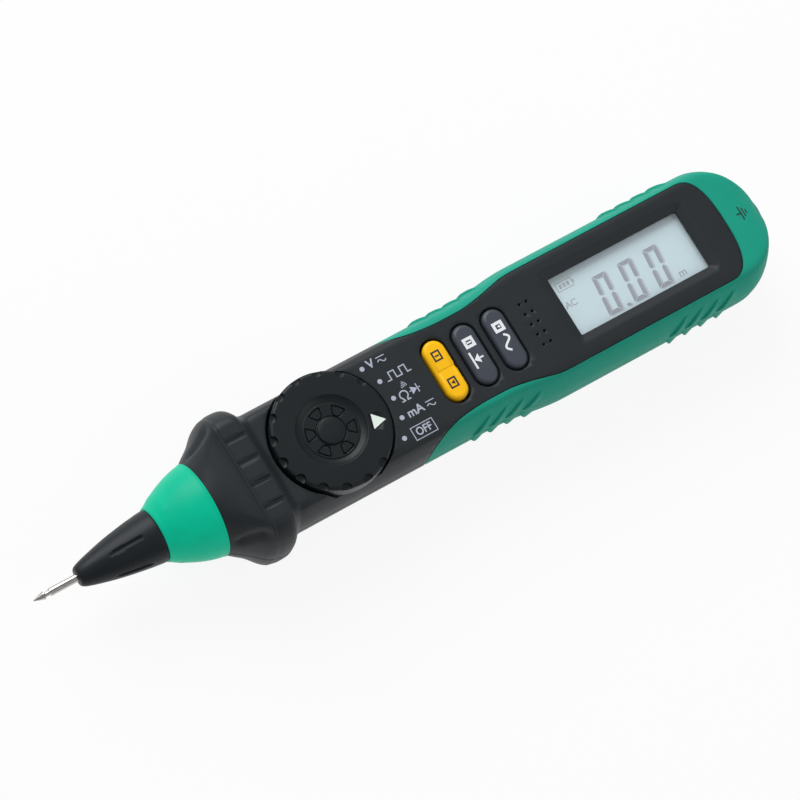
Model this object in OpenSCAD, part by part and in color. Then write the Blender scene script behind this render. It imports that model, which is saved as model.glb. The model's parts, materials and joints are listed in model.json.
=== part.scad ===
// Pen multimeter lying on its back with its face up.
// The probe points along -X, the COM socket looks along +X and the face looks along +Z.
// Pieces are drawn on the probe axis, with x counted from the needle's tip,
// and place() sets them on the surface that the meter rests on, centred on its length.

/* [Overall size] */
// Length from the needle's tip to the socket end
total_l = 208; // [206:0.5:222]
// Width across the finger guard
guard_w = 38; // [36.5:0.5:42]
// Height of the finger guard, which is the height of the meter
guard_h = 29; // [28.6:0.2:32]
// Width of the display end
body_w = 34.6; // [34.2:0.2:38]
// Width of the body at the dial and the keys
waist_w = 31; // [30.8:0.2:33.5]
// Probe axis up to the front face
face_h = 10.8; // [10.6:0.1:12.5]
// Probe axis down to the back at the waist
waist_depth = 12.5; // [11.5:0.25:14]

/* [Probe end] */
// Length of needle that shows in front of the nose
needle_out = 12.2; // [10:0.2:16]
// Diameter of the needle
needle_d = 2; // [1.6:0.1:2.4]
// Length of the needle's sharp cone
needle_cone_l = 2.9; // [2:0.1:4]
// Length of the black nose cone
nose_l = 21.5; // [19:0.5:26]
// Diameter of the nose at the needle
nose_tip_d = 7.4; // [6.4:0.2:8.6]
// Diameter of the nose at the light ring
nose_base_d = 13.6; // [12.8:0.2:14.2]
// Long hollows around the nose
nose_grooves = 5; // [3:1:6]
// Length of the light ring that shows
ring_l = 13.3; // [12:0.5:17]
// Diameter of the light ring at the nose
ring_front_d = 14.2; // [14:0.2:16]
// Diameter of the light ring at the housing
ring_rear_d = 24.6; // [23.6:0.2:26]

/* [Finger guard] */
// Length of the collar, the guard and the dip behind it
guard_l = 19.8; // [18:0.2:24]
// Grooves across the guard's ridge
guard_grooves = 4; // [2:1:6]
// Width of a guard groove
groove_w = 1.7; // [1:0.1:2.2]
// Distance between guard grooves
groove_pitch = 6.03; // [5:0.25:6.5]

/* [Dial] */
// Diameter of the dial knob
knob_d = 30; // [26:0.5:30.6]
// Centre of the knob behind the guard's dip
knob_setback = 14; // [13.6:0.1:15]
// Height of the knob's rim
knob_t = 4.7; // [4:0.1:6]
// Gap around the knob
knob_gap = 0.6; // [0.4:0.05:0.9]
// Diameter of the dished middle
dish_d = 18.2; // [16:0.2:20]
// Hollows around the knob's rim, counted as if none were left out
rim_hollows = 16; // [10:1:20]
// Angle between two settings
setting_angle = 16.7; // [14:0.1:18]

/* [Keys] */
// Width of a key
key_w = 5.8; // [5:0.1:6]
// Length of a key
key_l = 16.3; // [14:0.1:17]
// Distance between keys
key_pitch = 8.58; // [8.3:0.05:9.2]
// Centre of the rocker behind the knob's centre
keys_setback = 32.8; // [31.5:0.2:36]
// Height of the keys above the face
key_proud = 0.8; // [0.6:0.05:1.4]
// Travel of a key
key_travel = 0.8; // [0.4:0.05:0.9]

/* [Display] */
// Length of the display opening
window_l = 38.3; // [34:0.2:39]
// Width of the display opening
window_w = 16.2; // [14:0.2:17]
// Width of the bevel around the opening
window_bevel = 2.1; // [1:0.1:2.3]
// Length from the display opening to the socket end
window_to_end = 21.1; // [20.6:0.1:23]

/* [Socket] */
// Bore of the socket, for a 4 mm plug
jack_bore_d = 4; // [3.9:0.05:4.1]
// Depth of the socket
jack_l = 15; // [12:0.5:15.5]
// Diameter of the socket's collar
jack_d = 11.2; // [10.8:0.1:11.6]

/* [Walls] */
// Wall of the housing at the face
wall = 1.8; // [1.6:0.1:2.2]
// Wall of the housing at the back, thick enough to sink the cover into
back_wall = 3.2; // [3:0.1:3.6]
// Wall of the housing at the sides, under the grip
side_wall = 1.6; // [1.4:0.1:1.9]
// Thickness of the green grip
grip_t = 1.5; // [1.1:0.1:1.8]
// Circuit board thickness
board_t = 1.6; // [1.2:0.1:1.8]

/* [Battery] */
// Diameter of a cell
cell_d = 10.5; // [10:0.1:10.6]
// Length of a cell
cell_l = 44.5; // [43.5:0.1:44.7]
// Thickness of the battery cover
cover_t = 1.6; // [1.4:0.1:1.8]

/* [Hidden] */
$fn = 64;

// Overrun of a cut past the surface that it opens
cut = 0.4;
// Running gap of what turns or slides
run_gap = 0.1;
// Gap of a piece that is dropped into its seat
seat_gap = 0.05;
// Gap of what lies loose beside its neighbour
loose = 0.3;

// Places along the probe axis
nose_x = needle_out;
ring_x = nose_x + nose_l;
collar_x = ring_x + ring_l;
body_x = collar_x + guard_l;
knob_x = body_x + knob_setback;
rocker_x = knob_x + keys_setback;
max_x = rocker_x + key_pitch;
func_x = max_x + key_pitch;
window_end = total_l - window_to_end;
window_x = window_end - window_l;
buzzer_setback = 8.9;
buzzer_x = func_x + buzzer_setback;
panel_end_gap = 11.5;
panel_end = total_l - panel_end_gap;
panel_setback = 18.2;
panel_x = knob_x + panel_setback;
panel_l = panel_end - panel_x;
flare_share = 0.256;
flare_l_share = 0.185;
flare_x = panel_x + flare_share * panel_l;
flare_l = flare_l_share * panel_l;
// The back grows deep ahead of the sides, to make room for the cells
back_lead = 12;
back_flare_x = flare_x - back_lead;
end_l = 15;
end_x = total_l - end_l;

// Outside form
collar_r = 12.1;
panel_w = 28;
flare_steps = 10;
end_power = 2.2;
end_angles = [13, 26, 39, 51, 62, 71, 77];
end_keep_share = 0.42;
square_from_share = 0.47;
quarter_steps = 8;
// Shares of half the width and of the height, from the parting line up to the middle
section_shares = [[1, 0], [0.995, 0.2], [0.975, 0.42], [0.935, 0.62], [0.885, 0.8],
    [0.835, 0.93], [0.77, 1], [0.45, 1], [0, 1]];
// Shares of the guard's length, then of its growth in width and in height from the collar
guard_front_shares = [[0, 0, 0], [0.2, 0.37, 0.4], [0.36, 0.79, 0.75], [0.47, 0.95, 1], [0.65, 1, 1]];
// The same behind the ridge, counted from the body
guard_rear_shares = [[0.75, 0.96, 0.9], [0.82, 0.7, 0.5], [0.89, 0.25, 0.1], [1, 0, 0]];
// Shares of the panel's length and of half its width, round the black panel
panel_shares = [[0, 1.3], [0.01, 1.16], [0.053, 1], [0.088, 0.911], [0.133, 0.843], [0.205, 0.804],
    [0.262, 0.807], [0.318, 0.857], [0.374, 0.943], [0.41, 0.99], [0.45, 1], [0.935, 1],
    [0.963, 0.95], [0.98, 0.82], [0.992, 0.45], [1, 0]];

// Heights over and under the probe axis
face_in = face_h - wall;
board_z = 0.2;
board_top = board_z + board_t;
pan_floor = 7.5;
pan_t = 1.5;
pan_in = pan_floor - pan_t;
base_z = guard_h / 2;
bay_floor = base_z - back_wall;

// Probe
needle_r = needle_d / 2;
neck_r = 0.62;
neck_l = 0.9;
needle_step = 0.3;
neck_x = needle_cone_l + 2 * needle_step;
rod_x = neck_x + neck_l + needle_step;
stem_r = 0.8;
needle_in = 24;
socket_r = 2.2;
socket_start = 9.8;
socket_back_gap = 1.45;
tail_r = 1.2;
tail_l = 4;
spigot_r = 5.4;
spigot_l = 6;
nose_rim = 1.1;
rim_steps = 5;
nose_groove_w = 1.7;
nose_groove_depth = 0.45;
nose_groove_start = 7.8;
nose_groove_l = 9.7;
// Shares of the nose's length and of its growth from the tip to the base
nose_shares = [[0.235, 0.2], [0.56, 0.63], [0.8, 0.9], [1, 1]];
// Shares of the ring's length and of its growth
ring_shares = [[0, 0], [0.04, 0.05], [0.2, 0.31], [0.47, 0.62], [0.73, 0.86], [0.96, 1], [1, 1]];
ring_wall = 1.6;
flange_r = 10;
flange_l = 4.4;
led_board_r = 9.4;
led_board_t = 1.4;
led_r = 1.5;
led_l = 3.4;
led_ring_r = 6;
led_angles = [60, 180, 300];
led_base_t = 0.8;
led_base_r = 1.75;
led_board_x = collar_x + flange_l + seat_gap;
socket_l = led_board_x - socket_back_gap - nose_x - socket_start;
collar_bore_r = led_board_r + seat_gap;
collar_bore_l = 15;
lead_bore_r = 5.5;
strip_w = 1.2;
strip_t = 0.6;

// Guard grooves
groove_depth = 0.8;
ridge_start_share = 0.42;
ridge_end_share = 0.76;

// Dial
knob_r = knob_d / 2;
recess_r = knob_r + knob_gap;
knob_lift = 0.4;
knob_z = pan_floor + knob_lift;
knob_top = knob_z + knob_t;
shaft_r = 4;
shaft_end_r = 3;
dish_slope = 2;
dish_depth = 0.8;
rim_edge = 0.9;
boss_r = 3.45;
boss_rise = 0.45;
boss_crown = 0.2;
petals = 6;
petal_in = 4.3;
petal_out = 6.6;
petal_angle = 26;
petal_depth = 0.4;
// How much wider in angle a petal is at its root, and how far its ends bow
petal_root_share = 1.5;
petal_bow = 0.25;
hollow_r = 1.25;
hollow_in = 1.1;
hollow_skip = 2;
pointer_r = 13.5;
pointer_base_r = 10.15;
pointer_w = 3.85;
pointer_t = 0.8;
pointer_proud = 0.06;
rest_angle = -setting_angle;
wiper_lift = 0.9;
wiper_z = board_top + wiper_lift;
wiper_t = 3;
wiper_r = 10.3;
wiper_pad_r = 0.8;
wiper_pad_rings = [5.2, 7.2, 9.2];
detent_gap = 0.35;
detent_in = wiper_r + detent_gap;
detent_out = 12.2;
detent_t = 2.4;
notch_r = 1.5;
ball_r = 1.15;
ball_seat_r = 9.1;
pocket_r = 1.25;
pocket_in = 5.2;
detent_coil_r = 0.85;
detent_wire_r = 0.2;
detent_turns = 4;
pocket_z = wiper_z + wiper_t / 2;
detent_pocket_r = detent_out + seat_gap;
settings = 5;

// Keys
key_hole_gap = 0.25;
rocker_hole_gap = 0.4;
key_top = face_h + key_proud;
key_flange = 0.55;
key_flange_t = 0.8;
key_flange_top = face_in - loose;
key_plunger_r = 2.2;
sheet_t = 0.8;
sheet_top = board_top + sheet_t;
dome_rest = 1.2;
dome_h = key_travel + dome_rest;
dome_top = sheet_top + dome_h;
dome_r = 2;
dome_tip_r = 1.3;
dome_foot_share = 0.2;
dome_head_share = 0.8;
plunger_z = dome_top + seat_gap;
key_edge = 0.7;
key_edge_steps = 3;
rocker_pivot_z = 6.2;
trunnion_r = 0.9;
trunnion_gap = 0.08;
trunnion_l = 0.9;
lug_t = 1;
lug_w = 3.4;
lug_gap = 0.15;
rocker_split = 0.5;
rocker_split_depth = 0.35;
notch_key_r = 1.1;
notch_key_in = 0.5;
rocker_press_y = 5;
keypad_margin = 4.4;
keypad_half_w = 8.6;

// Display
window_step = 0.8;
lens_t = 0.8;
lens_pad_t = 0.6;
lens_margin = 1.8;
lens_gap = 0.15;
glass_t = 2.2;
glass_margin = 1.6;
frame_margin = 3.2;
frame_wall = 1.2;
zebra_w = 1.6;
zebra_gap = 0.2;
speaker_pitch_x = 2;
speaker_pitch_y = 2.87;
speaker_rows = 5;
speaker_hole_r = 0.42;
buzzer_r = 4.5;
buzzer_t = 5.4;
buzzer_hole_r = 0.9;
chip_w = 11;
chip_t = 1.4;
chip_share = 0.5;

// Board
board_gap = 0.4;
board_x = body_x + board_gap;
board_end_gap = 18.4;
board_end = total_l - board_end_gap;
board_hole_r = 3.4;
board_boss_r = 1.9;
board_screw_r = 0.75;
board_head_r = 1.5;
board_head_t = 1;
board_screw_l = 5;
board_screw_front_setback = 21.7;
board_screw_front_edge = 6.2;
board_screw_front_y = waist_w / 2 - board_screw_front_edge;
board_screw_rear_edge = 6.7;
board_screw_rear_y = body_w / 2 - board_screw_rear_edge;
fuse_r = 2.6;
fuse_glass_r = 2.45;
fuse_l = 20;
fuse_cap_l = 5;
fuse_drop = 4;
clip_t = 0.5;
clip_l = 4;
clip_share = 0.38;

// Battery bay
cell_r = cell_d / 2;
cell_gap = 0.5;
cell_nub_r = 1.9;
cell_nub_l = 1.1;
cover_sunk = 0.4;
cover_gap = 0.2;
cover_in = base_z - cover_sunk - cover_t;
cell_lift = 0.3;
cell_z = cover_in - cell_lift - cell_r;
cell_y = cell_r + cell_gap / 2;
bay_margin = 0.65;
bay_half_w = cell_y + cell_r + bay_margin;
spring_l = 2.6;
plate_t = 0.4;
plate_half_w = 4.2;
bay_slack = 0.3;
bay_l = cell_l + spring_l + 2 * plate_t + 2 * bay_slack;
bay_setback = 0.2;
bay_end = window_end + bay_setback;
bay_x = bay_end - bay_l;
bay_wall = 1.5;
cover_edge = 1;
cover_front_l = 7;
cover_front = bay_x - cover_front_l;
cover_rear = bay_end + cover_edge + cover_gap;
cover_half_w = bay_half_w + cover_edge;
cover_lip = 0.9;
cover_lip_h = 1;
cover_screw_setback = 3.6;
cover_screw_x = bay_x - cover_screw_setback;
cover_screw_r = 1.1;
cover_head_r = 2.2;
cover_head_t = 1;
cover_screw_l = 7;
cover_boss_r = 2.6;
fuse_x = cover_screw_x - cover_boss_r - loose - fuse_l / 2;
fuse_z = board_z - fuse_drop;
cover_grooves = 4;
cover_groove_pitch = 2.4;
cover_groove_w = 1;
cover_groove_edge = 3.6;
cover_groove_depth = 0.5;
spring_wire_r = 0.3;
spring_r = 2.6;
spring_tip_r = 1.6;
spring_turns = 3;
spring_steps = 14;
spring_sides = 6;

// Housing screws
screw_r = 1.2;
screw_head_r = 2.3;
screw_head_t = 1.6;
screw_gap = 0.03;
screw_up = 6;
screw_sink = 4;
// Shares of a screw head that its cross slot takes
cross_l_share = 0.6;
cross_w_share = 0.12;
cross_t_share = 0.6;
guard_screw_share = 0.62;
guard_screw_y = 14.2;
tail_screw_setback = 10.6;
tail_screw_y = 11.2;

// Socket
jack_r = jack_d / 2;
jack_bore_r = jack_bore_d / 2;
jack_tube_t = 0.7;
jack_post_r = 3.3;
jack_collar_t = 0.9;
jack_floor = 2;
jack_tail_l = 1.4;
jack_x = total_l - jack_l;

// Grip ribs
rib_r = 0.85;
rib_count = 4;
rib_pitch = 4.75;
rib_lean = 4.3;
rib_low = 1.1;
rib_high_share = 0.72;
rib_high_y_share = 0.925;
rib_sunk = 0.45;
rib_front_gap = 15.4;
rib_rear_gap = 36.5;

module place() {
    translate([-total_l / 2, 0, guard_h / 2]) children();
}

module along_x(x = 0) {
    translate([x, 0, 0]) rotate([0, 90, 0]) children();
}

function smooth(t) = let (c = max(0, min(1, t))) c * c * (3 - 2 * c);
function half_w(x) = waist_w / 2 + (body_w - waist_w) / 2 * smooth((x - flare_x) / flare_l);
function depth(x) = waist_depth + (base_z - waist_depth) * smooth((x - back_flare_x) / flare_l);
function height(x, back) = back ? depth(x) : face_h;
function flare_stations() =
    [for (i = [0 : flare_steps]) back_flare_x + (flare_x + flare_l - back_flare_x) * i / flare_steps];

// A ring is [x, half width, height, squareness], from a round collar at 0 to the body's section at 1
function round_share(i) = [cos(90 * i / quarter_steps), sin(90 * i / quarter_steps)];
function mixed_share(i, k) = (1 - k) * round_share(i) + k * section_shares[i];
function ring_points(r) = concat(
    [for (i = [0 : quarter_steps]) let (m = mixed_share(i, r[3])) [r[0], m[0] * r[1], m[1] * r[2]]],
    [for (i = [quarter_steps - 1 : -1 : 0])
        let (m = mixed_share(i, r[3])) [r[0], -m[0] * r[1], m[1] * r[2]]]);

function collar_rings(back) = let (low = height(body_x, back)) concat(
    [for (g = guard_front_shares) [collar_x + g[0] * guard_l,
        collar_r + g[1] * (guard_w / 2 - collar_r), collar_r + g[2] * (base_z - collar_r),
        min(1, g[0] / square_from_share)]],
    [for (g = guard_rear_shares) [collar_x + g[0] * guard_l,
        waist_w / 2 + g[1] * (guard_w - waist_w) / 2, low + g[2] * (base_z - low), 1]]);

function end_share(a) = pow(cos(a), 2 / end_power);
function end_reach(a) = pow(sin(a) / sin(end_angles[len(end_angles) - 1]), 2 / end_power);
function body_rings(back, side, face) = concat(
    [[body_x + cut, half_w(body_x) - side, height(body_x, back) - face, 1]],
    [for (x = flare_stations()) [x, half_w(x) - side, height(x, back) - face, 1]],
    [[end_x, half_w(end_x) - side, height(end_x, back) - face, 1]],
    [for (a = end_angles) let (s = end_share(a)) [end_x + (end_l - side) * end_reach(a),
        (half_w(end_x) - side) * s,
        (height(end_x, back) - face) * (end_keep_share + (1 - end_keep_share) * s), 1]]);

// Skins a row of rings, with flat ends
module loft(rings) {
    n = 2 * quarter_steps + 1;
    last = len(rings) - 1;
    sides = [for (j = [0 : last - 1]) for (i = [0 : n - 1]) let (k = (i + 1) % n)
        for (t = [0, 1]) t == 0
            ? [j * n + i, (j + 1) * n + i, (j + 1) * n + k]
            : [j * n + i, (j + 1) * n + k, j * n + k]];
    first_cap = [for (i = [0 : n - 1]) i];
    last_cap = [for (i = [n - 1 : -1 : 0]) last * n + i];
    polyhedron(points = [for (r = rings) each ring_points(r)],
        faces = concat([first_cap], sides, [last_cap]), convexity = 6);
}

module turned(back) {
    mirror([0, 0, back ? 1 : 0]) children();
}

module outer_half(back) {
    turned(back) loft(concat(collar_rings(back), body_rings(back, 0, 0)));
}

module under_grip(back) {
    turned(back) loft(body_rings(back, grip_t, grip_t));
}

function panel_side(s) = [for (p = panel_shares) [panel_x + p[0] * panel_l, s * p[1] * panel_w / 2]];
module panel_prism() {
    far = guard_w;
    right = panel_side(1);
    left = panel_side(-1);
    points = concat([[ring_x, far], [panel_x, far]], right,
        [for (i = [len(left) - 2 : -1 : 0]) left[i]], [[panel_x, -far], [ring_x, -far]]);
    translate([0, 0, -far]) linear_extrude(2 * far) polygon(points);
}

module cavity(back) {
    side = grip_t + side_wall;
    reach = back ? back_wall : wall;
    first = back ? depth(body_x) - back_wall : pan_in;
    pan_end = knob_x + recess_r + run_gap;
    turned(back) translate([0, 0, -cut]) loft(concat(
        [[board_x - loose, half_w(body_x) - side, first + cut, 1],
            [pan_end, half_w(pan_end) - side, first + cut, 1],
            [pan_end + wall, half_w(pan_end) - side, height(pan_end, back) - reach + cut, 1]],
        [for (x = flare_stations()) [x, half_w(x) - side, height(x, back) - reach + cut, 1]],
        [[board_end + loose, half_w(end_x) - side, height(end_x, back) - reach + cut, 1]]));
}

// A flat shape with round ends, along Y
function capsule(l, w, steps = 12) = concat(
    [for (i = [0 : steps]) let (a = 180 * i / steps) [w / 2 * cos(a), (l - w) / 2 + w / 2 * sin(a)]],
    [for (i = [0 : steps]) let (a = 180 + 180 * i / steps)
        [w / 2 * cos(a), -(l - w) / 2 + w / 2 * sin(a)]]);

module slot(x, l, w, low, high) {
    translate([x, 0, low]) linear_extrude(high - low) polygon(capsule(l, w));
}

module box(low, high) {
    translate(low) cube(high - low);
}

module post(x, y, low, high, r) {
    translate([x, y, low]) cylinder(h = high - low, r = r);
}

module housing_screw_places() {
    for (s = [-1, 1]) {
        translate([collar_x + guard_screw_share * guard_l, s * guard_screw_y, 0]) children();
        translate([total_l - tail_screw_setback, s * tail_screw_y, 0]) children();
    }
}

module head_pocket() {
    translate([0, 0, -base_z - cut])
        cylinder(h = screw_sink + screw_head_t + cut, r = screw_head_r + loose);
}

module board_screw_places() {
    for (s = [-1, 1]) {
        translate([knob_x + board_screw_front_setback, s * board_screw_front_y, 0]) children();
        translate([buzzer_x, s * board_screw_rear_y, 0]) children();
    }
}

// The round way through the collar, and the pocket that the socket is pushed into
module end_bores() {
    along_x(collar_x - cut) cylinder(h = flange_l + cut, r = flange_r + seat_gap);
    along_x(collar_x) cylinder(h = collar_bore_l, r = collar_bore_r);
    along_x(collar_x + collar_bore_l - cut)
        cylinder(h = board_x - collar_x - collar_bore_l + 2 * cut, r = lead_bore_r);
    along_x(board_end) cylinder(h = jack_x - board_end, r = strip_w + loose);
    along_x(jack_x - jack_tail_l - loose) cylinder(h = jack_l + jack_tail_l + loose + cut,
        r = jack_r + seat_gap);
}

module guard_cuts() {
    x0 = collar_x + ridge_start_share * guard_l;
    x1 = collar_x + ridge_end_share * guard_l;
    for (i = [0 : guard_grooves - 1]) {
        y = (i - (guard_grooves - 1) / 2) * groove_pitch;
        box([x0, y - groove_w / 2, base_z - groove_depth], [x1, y + groove_w / 2, base_z + cut]);
    }
}

module window_cut() {
    y = window_w / 2;
    b = window_bevel;
    box([window_x, -y, face_in - cut], [window_end, y, face_h + cut]);
    hull() {
        box([window_x, -y, face_h - window_step], [window_end, y, face_h]);
        box([window_x - b, -y - b, face_h], [window_end + b, y + b, face_h + cut]);
    }
}

module front_housing() color([0.13, 0.14, 0.17]) place() {
    difference() {
        union() {
            intersection() {
                outer_half(false);
                panel_prism();
            }
            under_grip(false);
        }
        cavity(false);
        end_bores();
        guard_cuts();
        post(knob_x, 0, pan_floor, guard_h, recess_r);
        post(knob_x, 0, -cut, pan_in, detent_pocket_r);
        post(knob_x, 0, pan_in - cut, pan_floor + cut, shaft_r + run_gap);
        slot(rocker_x, key_l + 2 * rocker_hole_gap, key_w + 2 * key_hole_gap, face_in - cut,
            guard_h);
        for (x = [max_x, func_x])
            slot(x, key_l + 2 * key_hole_gap, key_w + 2 * key_hole_gap, face_in - cut, guard_h);
        window_cut();
        for (i = [0 : speaker_rows - 1]) for (s = [-1, 1])
            post(buzzer_x + s * speaker_pitch_x / 2, (i - (speaker_rows - 1) / 2) * speaker_pitch_y,
                face_in - cut, face_h + cut, speaker_hole_r);
        housing_screw_places() translate([0, 0, -cut])
            cylinder(h = screw_up + cut, r = screw_r + screw_gap);
    }
    board_screw_places() translate([0, 0, board_top]) difference() {
        cylinder(h = face_in - board_top + cut, r = board_boss_r);
        translate([0, 0, -cut]) cylinder(h = board_screw_l, r = board_screw_r + screw_gap);
    }
    rocker_lugs();
}

module rocker_lugs() {
    x0 = key_w / 2 + lug_gap;
    for (s = [-1, 1]) difference() {
        x = rocker_x + s * (x0 + lug_t / 2);
        box([x - lug_t / 2, -lug_w / 2, rocker_pivot_z - lug_w / 2],
            [x + lug_t / 2, lug_w / 2, face_in + cut]);
        translate([x - lug_t, 0, rocker_pivot_z]) rotate([0, 90, 0])
            cylinder(h = 2 * lug_t, r = trunnion_r + trunnion_gap);
    }
}

module rear_housing() color([0.11, 0.12, 0.15]) place() {
    difference() {
        union() {
            intersection() {
                outer_half(true);
                panel_prism();
            }
            under_grip(true);
        }
        cavity(true);
        end_bores();
        box([bay_x, -bay_half_w, -base_z], [bay_end, bay_half_w, -cut]);
        box([cover_front - cover_gap, -cover_half_w, -base_z - cut],
            [cover_rear, cover_half_w, -cover_in]);
        post(cover_screw_x, 0, -base_z, -cover_in + cover_screw_l, cover_screw_r + screw_gap);
        housing_screw_places() {
            translate([0, 0, -base_z]) cylinder(h = base_z + cut, r = screw_r + screw_gap);
            head_pocket();
        }
    }
    bay_ends();
    difference() {
        post(cover_screw_x, 0, -bay_floor - cut, -cover_in + cover_screw_l + wall, cover_boss_r);
        post(cover_screw_x, 0, -base_z, -cover_in + cover_screw_l, cover_screw_r + screw_gap);
    }
}

// The cross walls that the battery contacts stand against
module bay_ends() {
    for (x = [bay_x - bay_wall, bay_end])
        box([x, -bay_half_w, -bay_floor - cut],
            [x + bay_wall, bay_half_w, board_z - board_head_t - loose]);
}

module ribs(back) {
    side = back ? -1 : 1;
    for (x0 = [panel_x + rib_front_gap, total_l - rib_rear_gap]) for (i = [0 : rib_count - 1])
        for (s = [-1, 1]) {
            x = x0 + i * rib_pitch;
            z1 = rib_high_share * height(x, back);
            y0 = half_w(x) - rib_sunk;
            y1 = y0 * rib_high_y_share;
            run = [rib_lean, s * (y1 - y0), side * (z1 - rib_low)];
            translate([x, s * y0, side * rib_low])
                rotate([0, acos(run[2] / norm(run)), atan2(run[1], run[0])])
                    cylinder(h = norm(run), r = rib_r);
        }
}

module grip(back) {
    difference() {
        outer_half(back);
        under_grip(back);
        panel_prism();
        end_bores();
        if (back) housing_screw_places() head_pocket();
    }
    difference() {
        ribs(back);
        under_grip(back);
    }
}

module front_grip() color([0.12, 0.5, 0.4]) place() grip(false);
module rear_grip() color([0.1, 0.46, 0.37]) place() grip(true);

module probe_needle() color([0.8, 0.8, 0.78]) place() along_x() rotate_extrude()
    polygon([[0, 0], [needle_r, needle_cone_l], [needle_r, needle_cone_l + needle_step],
        [neck_r, neck_x], [neck_r, neck_x + neck_l], [needle_r, rod_x], [needle_r, needle_out],
        [stem_r, needle_out], [stem_r, needle_out + needle_in], [0, needle_out + needle_in]]);

module needle_socket() color([0.78, 0.62, 0.3]) place() along_x(nose_x + socket_start) difference() {
    union() {
        cylinder(h = socket_l, r = socket_r);
        translate([0, 0, socket_l - cut]) cylinder(h = tail_l + cut, r = tail_r);
    }
    translate([0, 0, -cut]) cylinder(h = needle_in - socket_start + cut + seat_gap, r = stem_r + screw_gap);
}

function nose_r(share) = let (r0 = nose_tip_d / 2) r0 + share * (nose_base_d / 2 - r0);
module nose_cone() color([0.1, 0.11, 0.13]) place() along_x(nose_x) {
    front = nose_tip_d / 2 - nose_rim;
    rim = [for (a = [0 : 90 / rim_steps : 90]) [front + nose_rim * sin(a), nose_rim * (1 - cos(a))]];
    taper = [for (p = nose_shares) [nose_r(p[1]), p[0] * nose_l]];
    hole = stem_r + seat_gap;
    seat = socket_r + seat_gap;
    back = nose_l + spigot_l;
    first = nose_shares[0];
    last = nose_shares[2];
    slope = atan2(nose_r(last[1]) - nose_r(first[1]), (last[0] - first[0]) * nose_l);
    middle = nose_groove_start + nose_groove_l / 2;
    difference() {
        rotate_extrude() polygon(concat([[hole, 0]], rim, taper, [[spigot_r, nose_l], [spigot_r, back],
            [seat, back], [seat, socket_start], [hole, socket_start]]));
        for (i = [0 : nose_grooves - 1]) rotate([0, 0, 180 + 360 * i / nose_grooves])
            translate([nose_r(nose_shares[1][1]), 0, middle]) rotate([0, slope, 0])
                translate([-nose_groove_depth, 0, 0]) rotate([0, 90, 0]) rotate([0, 0, 90])
                    linear_extrude(nose_rim + nose_groove_depth)
                        polygon(capsule(nose_groove_l, nose_groove_w));
    }
}

function ring_r(share) = (ring_front_d + share * (ring_rear_d - ring_front_d)) / 2;
module light_ring() color([0.02, 0.72, 0.56]) place() along_x(ring_x) rotate_extrude() {
    outside = [for (p = ring_shares) [ring_r(p[1]), p[0] * ring_l]];
    inside = [for (i = [len(ring_shares) - 2 : -1 : 2])
        [ring_r(ring_shares[i][1]) - ring_wall - (ring_rear_d / 2 - flange_r) * ring_shares[i][0],
            ring_shares[i][0] * ring_l]];
    polygon(concat([[spigot_r + seat_gap, 0]], outside, [[flange_r, ring_l], [flange_r, ring_l + flange_l],
        [flange_r - ring_wall, ring_l + flange_l]], inside,
        [[spigot_r + seat_gap, ring_shares[2][0] * ring_l]]));
}

module led_board() color([0.1, 0.35, 0.2]) place() along_x(led_board_x) difference() {
    cylinder(h = led_board_t, r = led_board_r);
    translate([0, 0, -cut]) cylinder(h = led_board_t + 2 * cut, r = socket_r + seat_gap);
}

module logic_leds() color([0.9, 0.9, 0.85]) place() along_x(led_board_x) for (a = led_angles)
    rotate([0, 0, a]) translate([led_ring_r, 0, 0]) mirror([0, 0, 1]) {
        cylinder(h = led_base_t, r = led_base_r);
        cylinder(h = led_l - led_r, r = led_r);
        translate([0, 0, led_l - led_r]) sphere(r = led_r);
    }

module probe_strip() color([0.8, 0.66, 0.35]) place() {
    x0 = nose_x + socket_start + socket_l + tail_l - tail_r;
    drop = board_z - strip_t;
    difference() {
        box([x0, -strip_w, drop], [board_x + strip_w * 2, strip_w, board_z]);
        along_x(x0 - cut) cylinder(h = tail_r + 2 * cut, r = tail_r);
    }
}

module dial_frame() {
    place() translate([knob_x, 0, 0]) rotate([0, 0, rest_angle]) children();
}

module knob_form() {
    edge = [for (i = [0 : rim_steps]) let (a = 90 * i / rim_steps)
        [knob_r - rim_edge + rim_edge * cos(a), knob_top - rim_edge + rim_edge * sin(a)]];
    dish = dish_d / 2;
    low = knob_top - dish_depth;
    crown = [for (i = [0 : rim_steps]) let (a = 90 * i / rim_steps)
        [boss_r * cos(a), low + boss_rise + boss_crown * sin(a)]];
    rotate_extrude() polygon(concat([[0, wiper_z], [shaft_end_r, wiper_z],
        [shaft_end_r, wiper_z + wiper_t], [shaft_r, wiper_z + wiper_t], [shaft_r, knob_z],
        [knob_r, knob_z]], edge, [[dish, knob_top], [dish - dish_slope, low],
        [boss_r + boss_rise, low]], crown));
}

module petal_cut() {
    low = knob_top - dish_depth - petal_depth;
    a = petal_angle / 2;
    root = a * petal_root_share;
    bow = petal_out + petal_bow;
    right = [petal_in * [cos(root), sin(root)], petal_out * [cos(a), sin(a)],
        bow * [cos(a / 2), sin(a / 2)]];
    left = [for (i = [2 : -1 : 0]) [right[i][0], -right[i][1]]];
    translate([0, 0, low]) linear_extrude(dish_depth)
        polygon(concat(right, left, [[petal_in - petal_bow, 0]]));
}

module pointer_outline(gap) {
    polygon([[pointer_r + 2 * gap, 0], [pointer_base_r - gap, pointer_w / 2 + gap],
        [pointer_base_r - gap, -pointer_w / 2 - gap]]);
}

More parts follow.
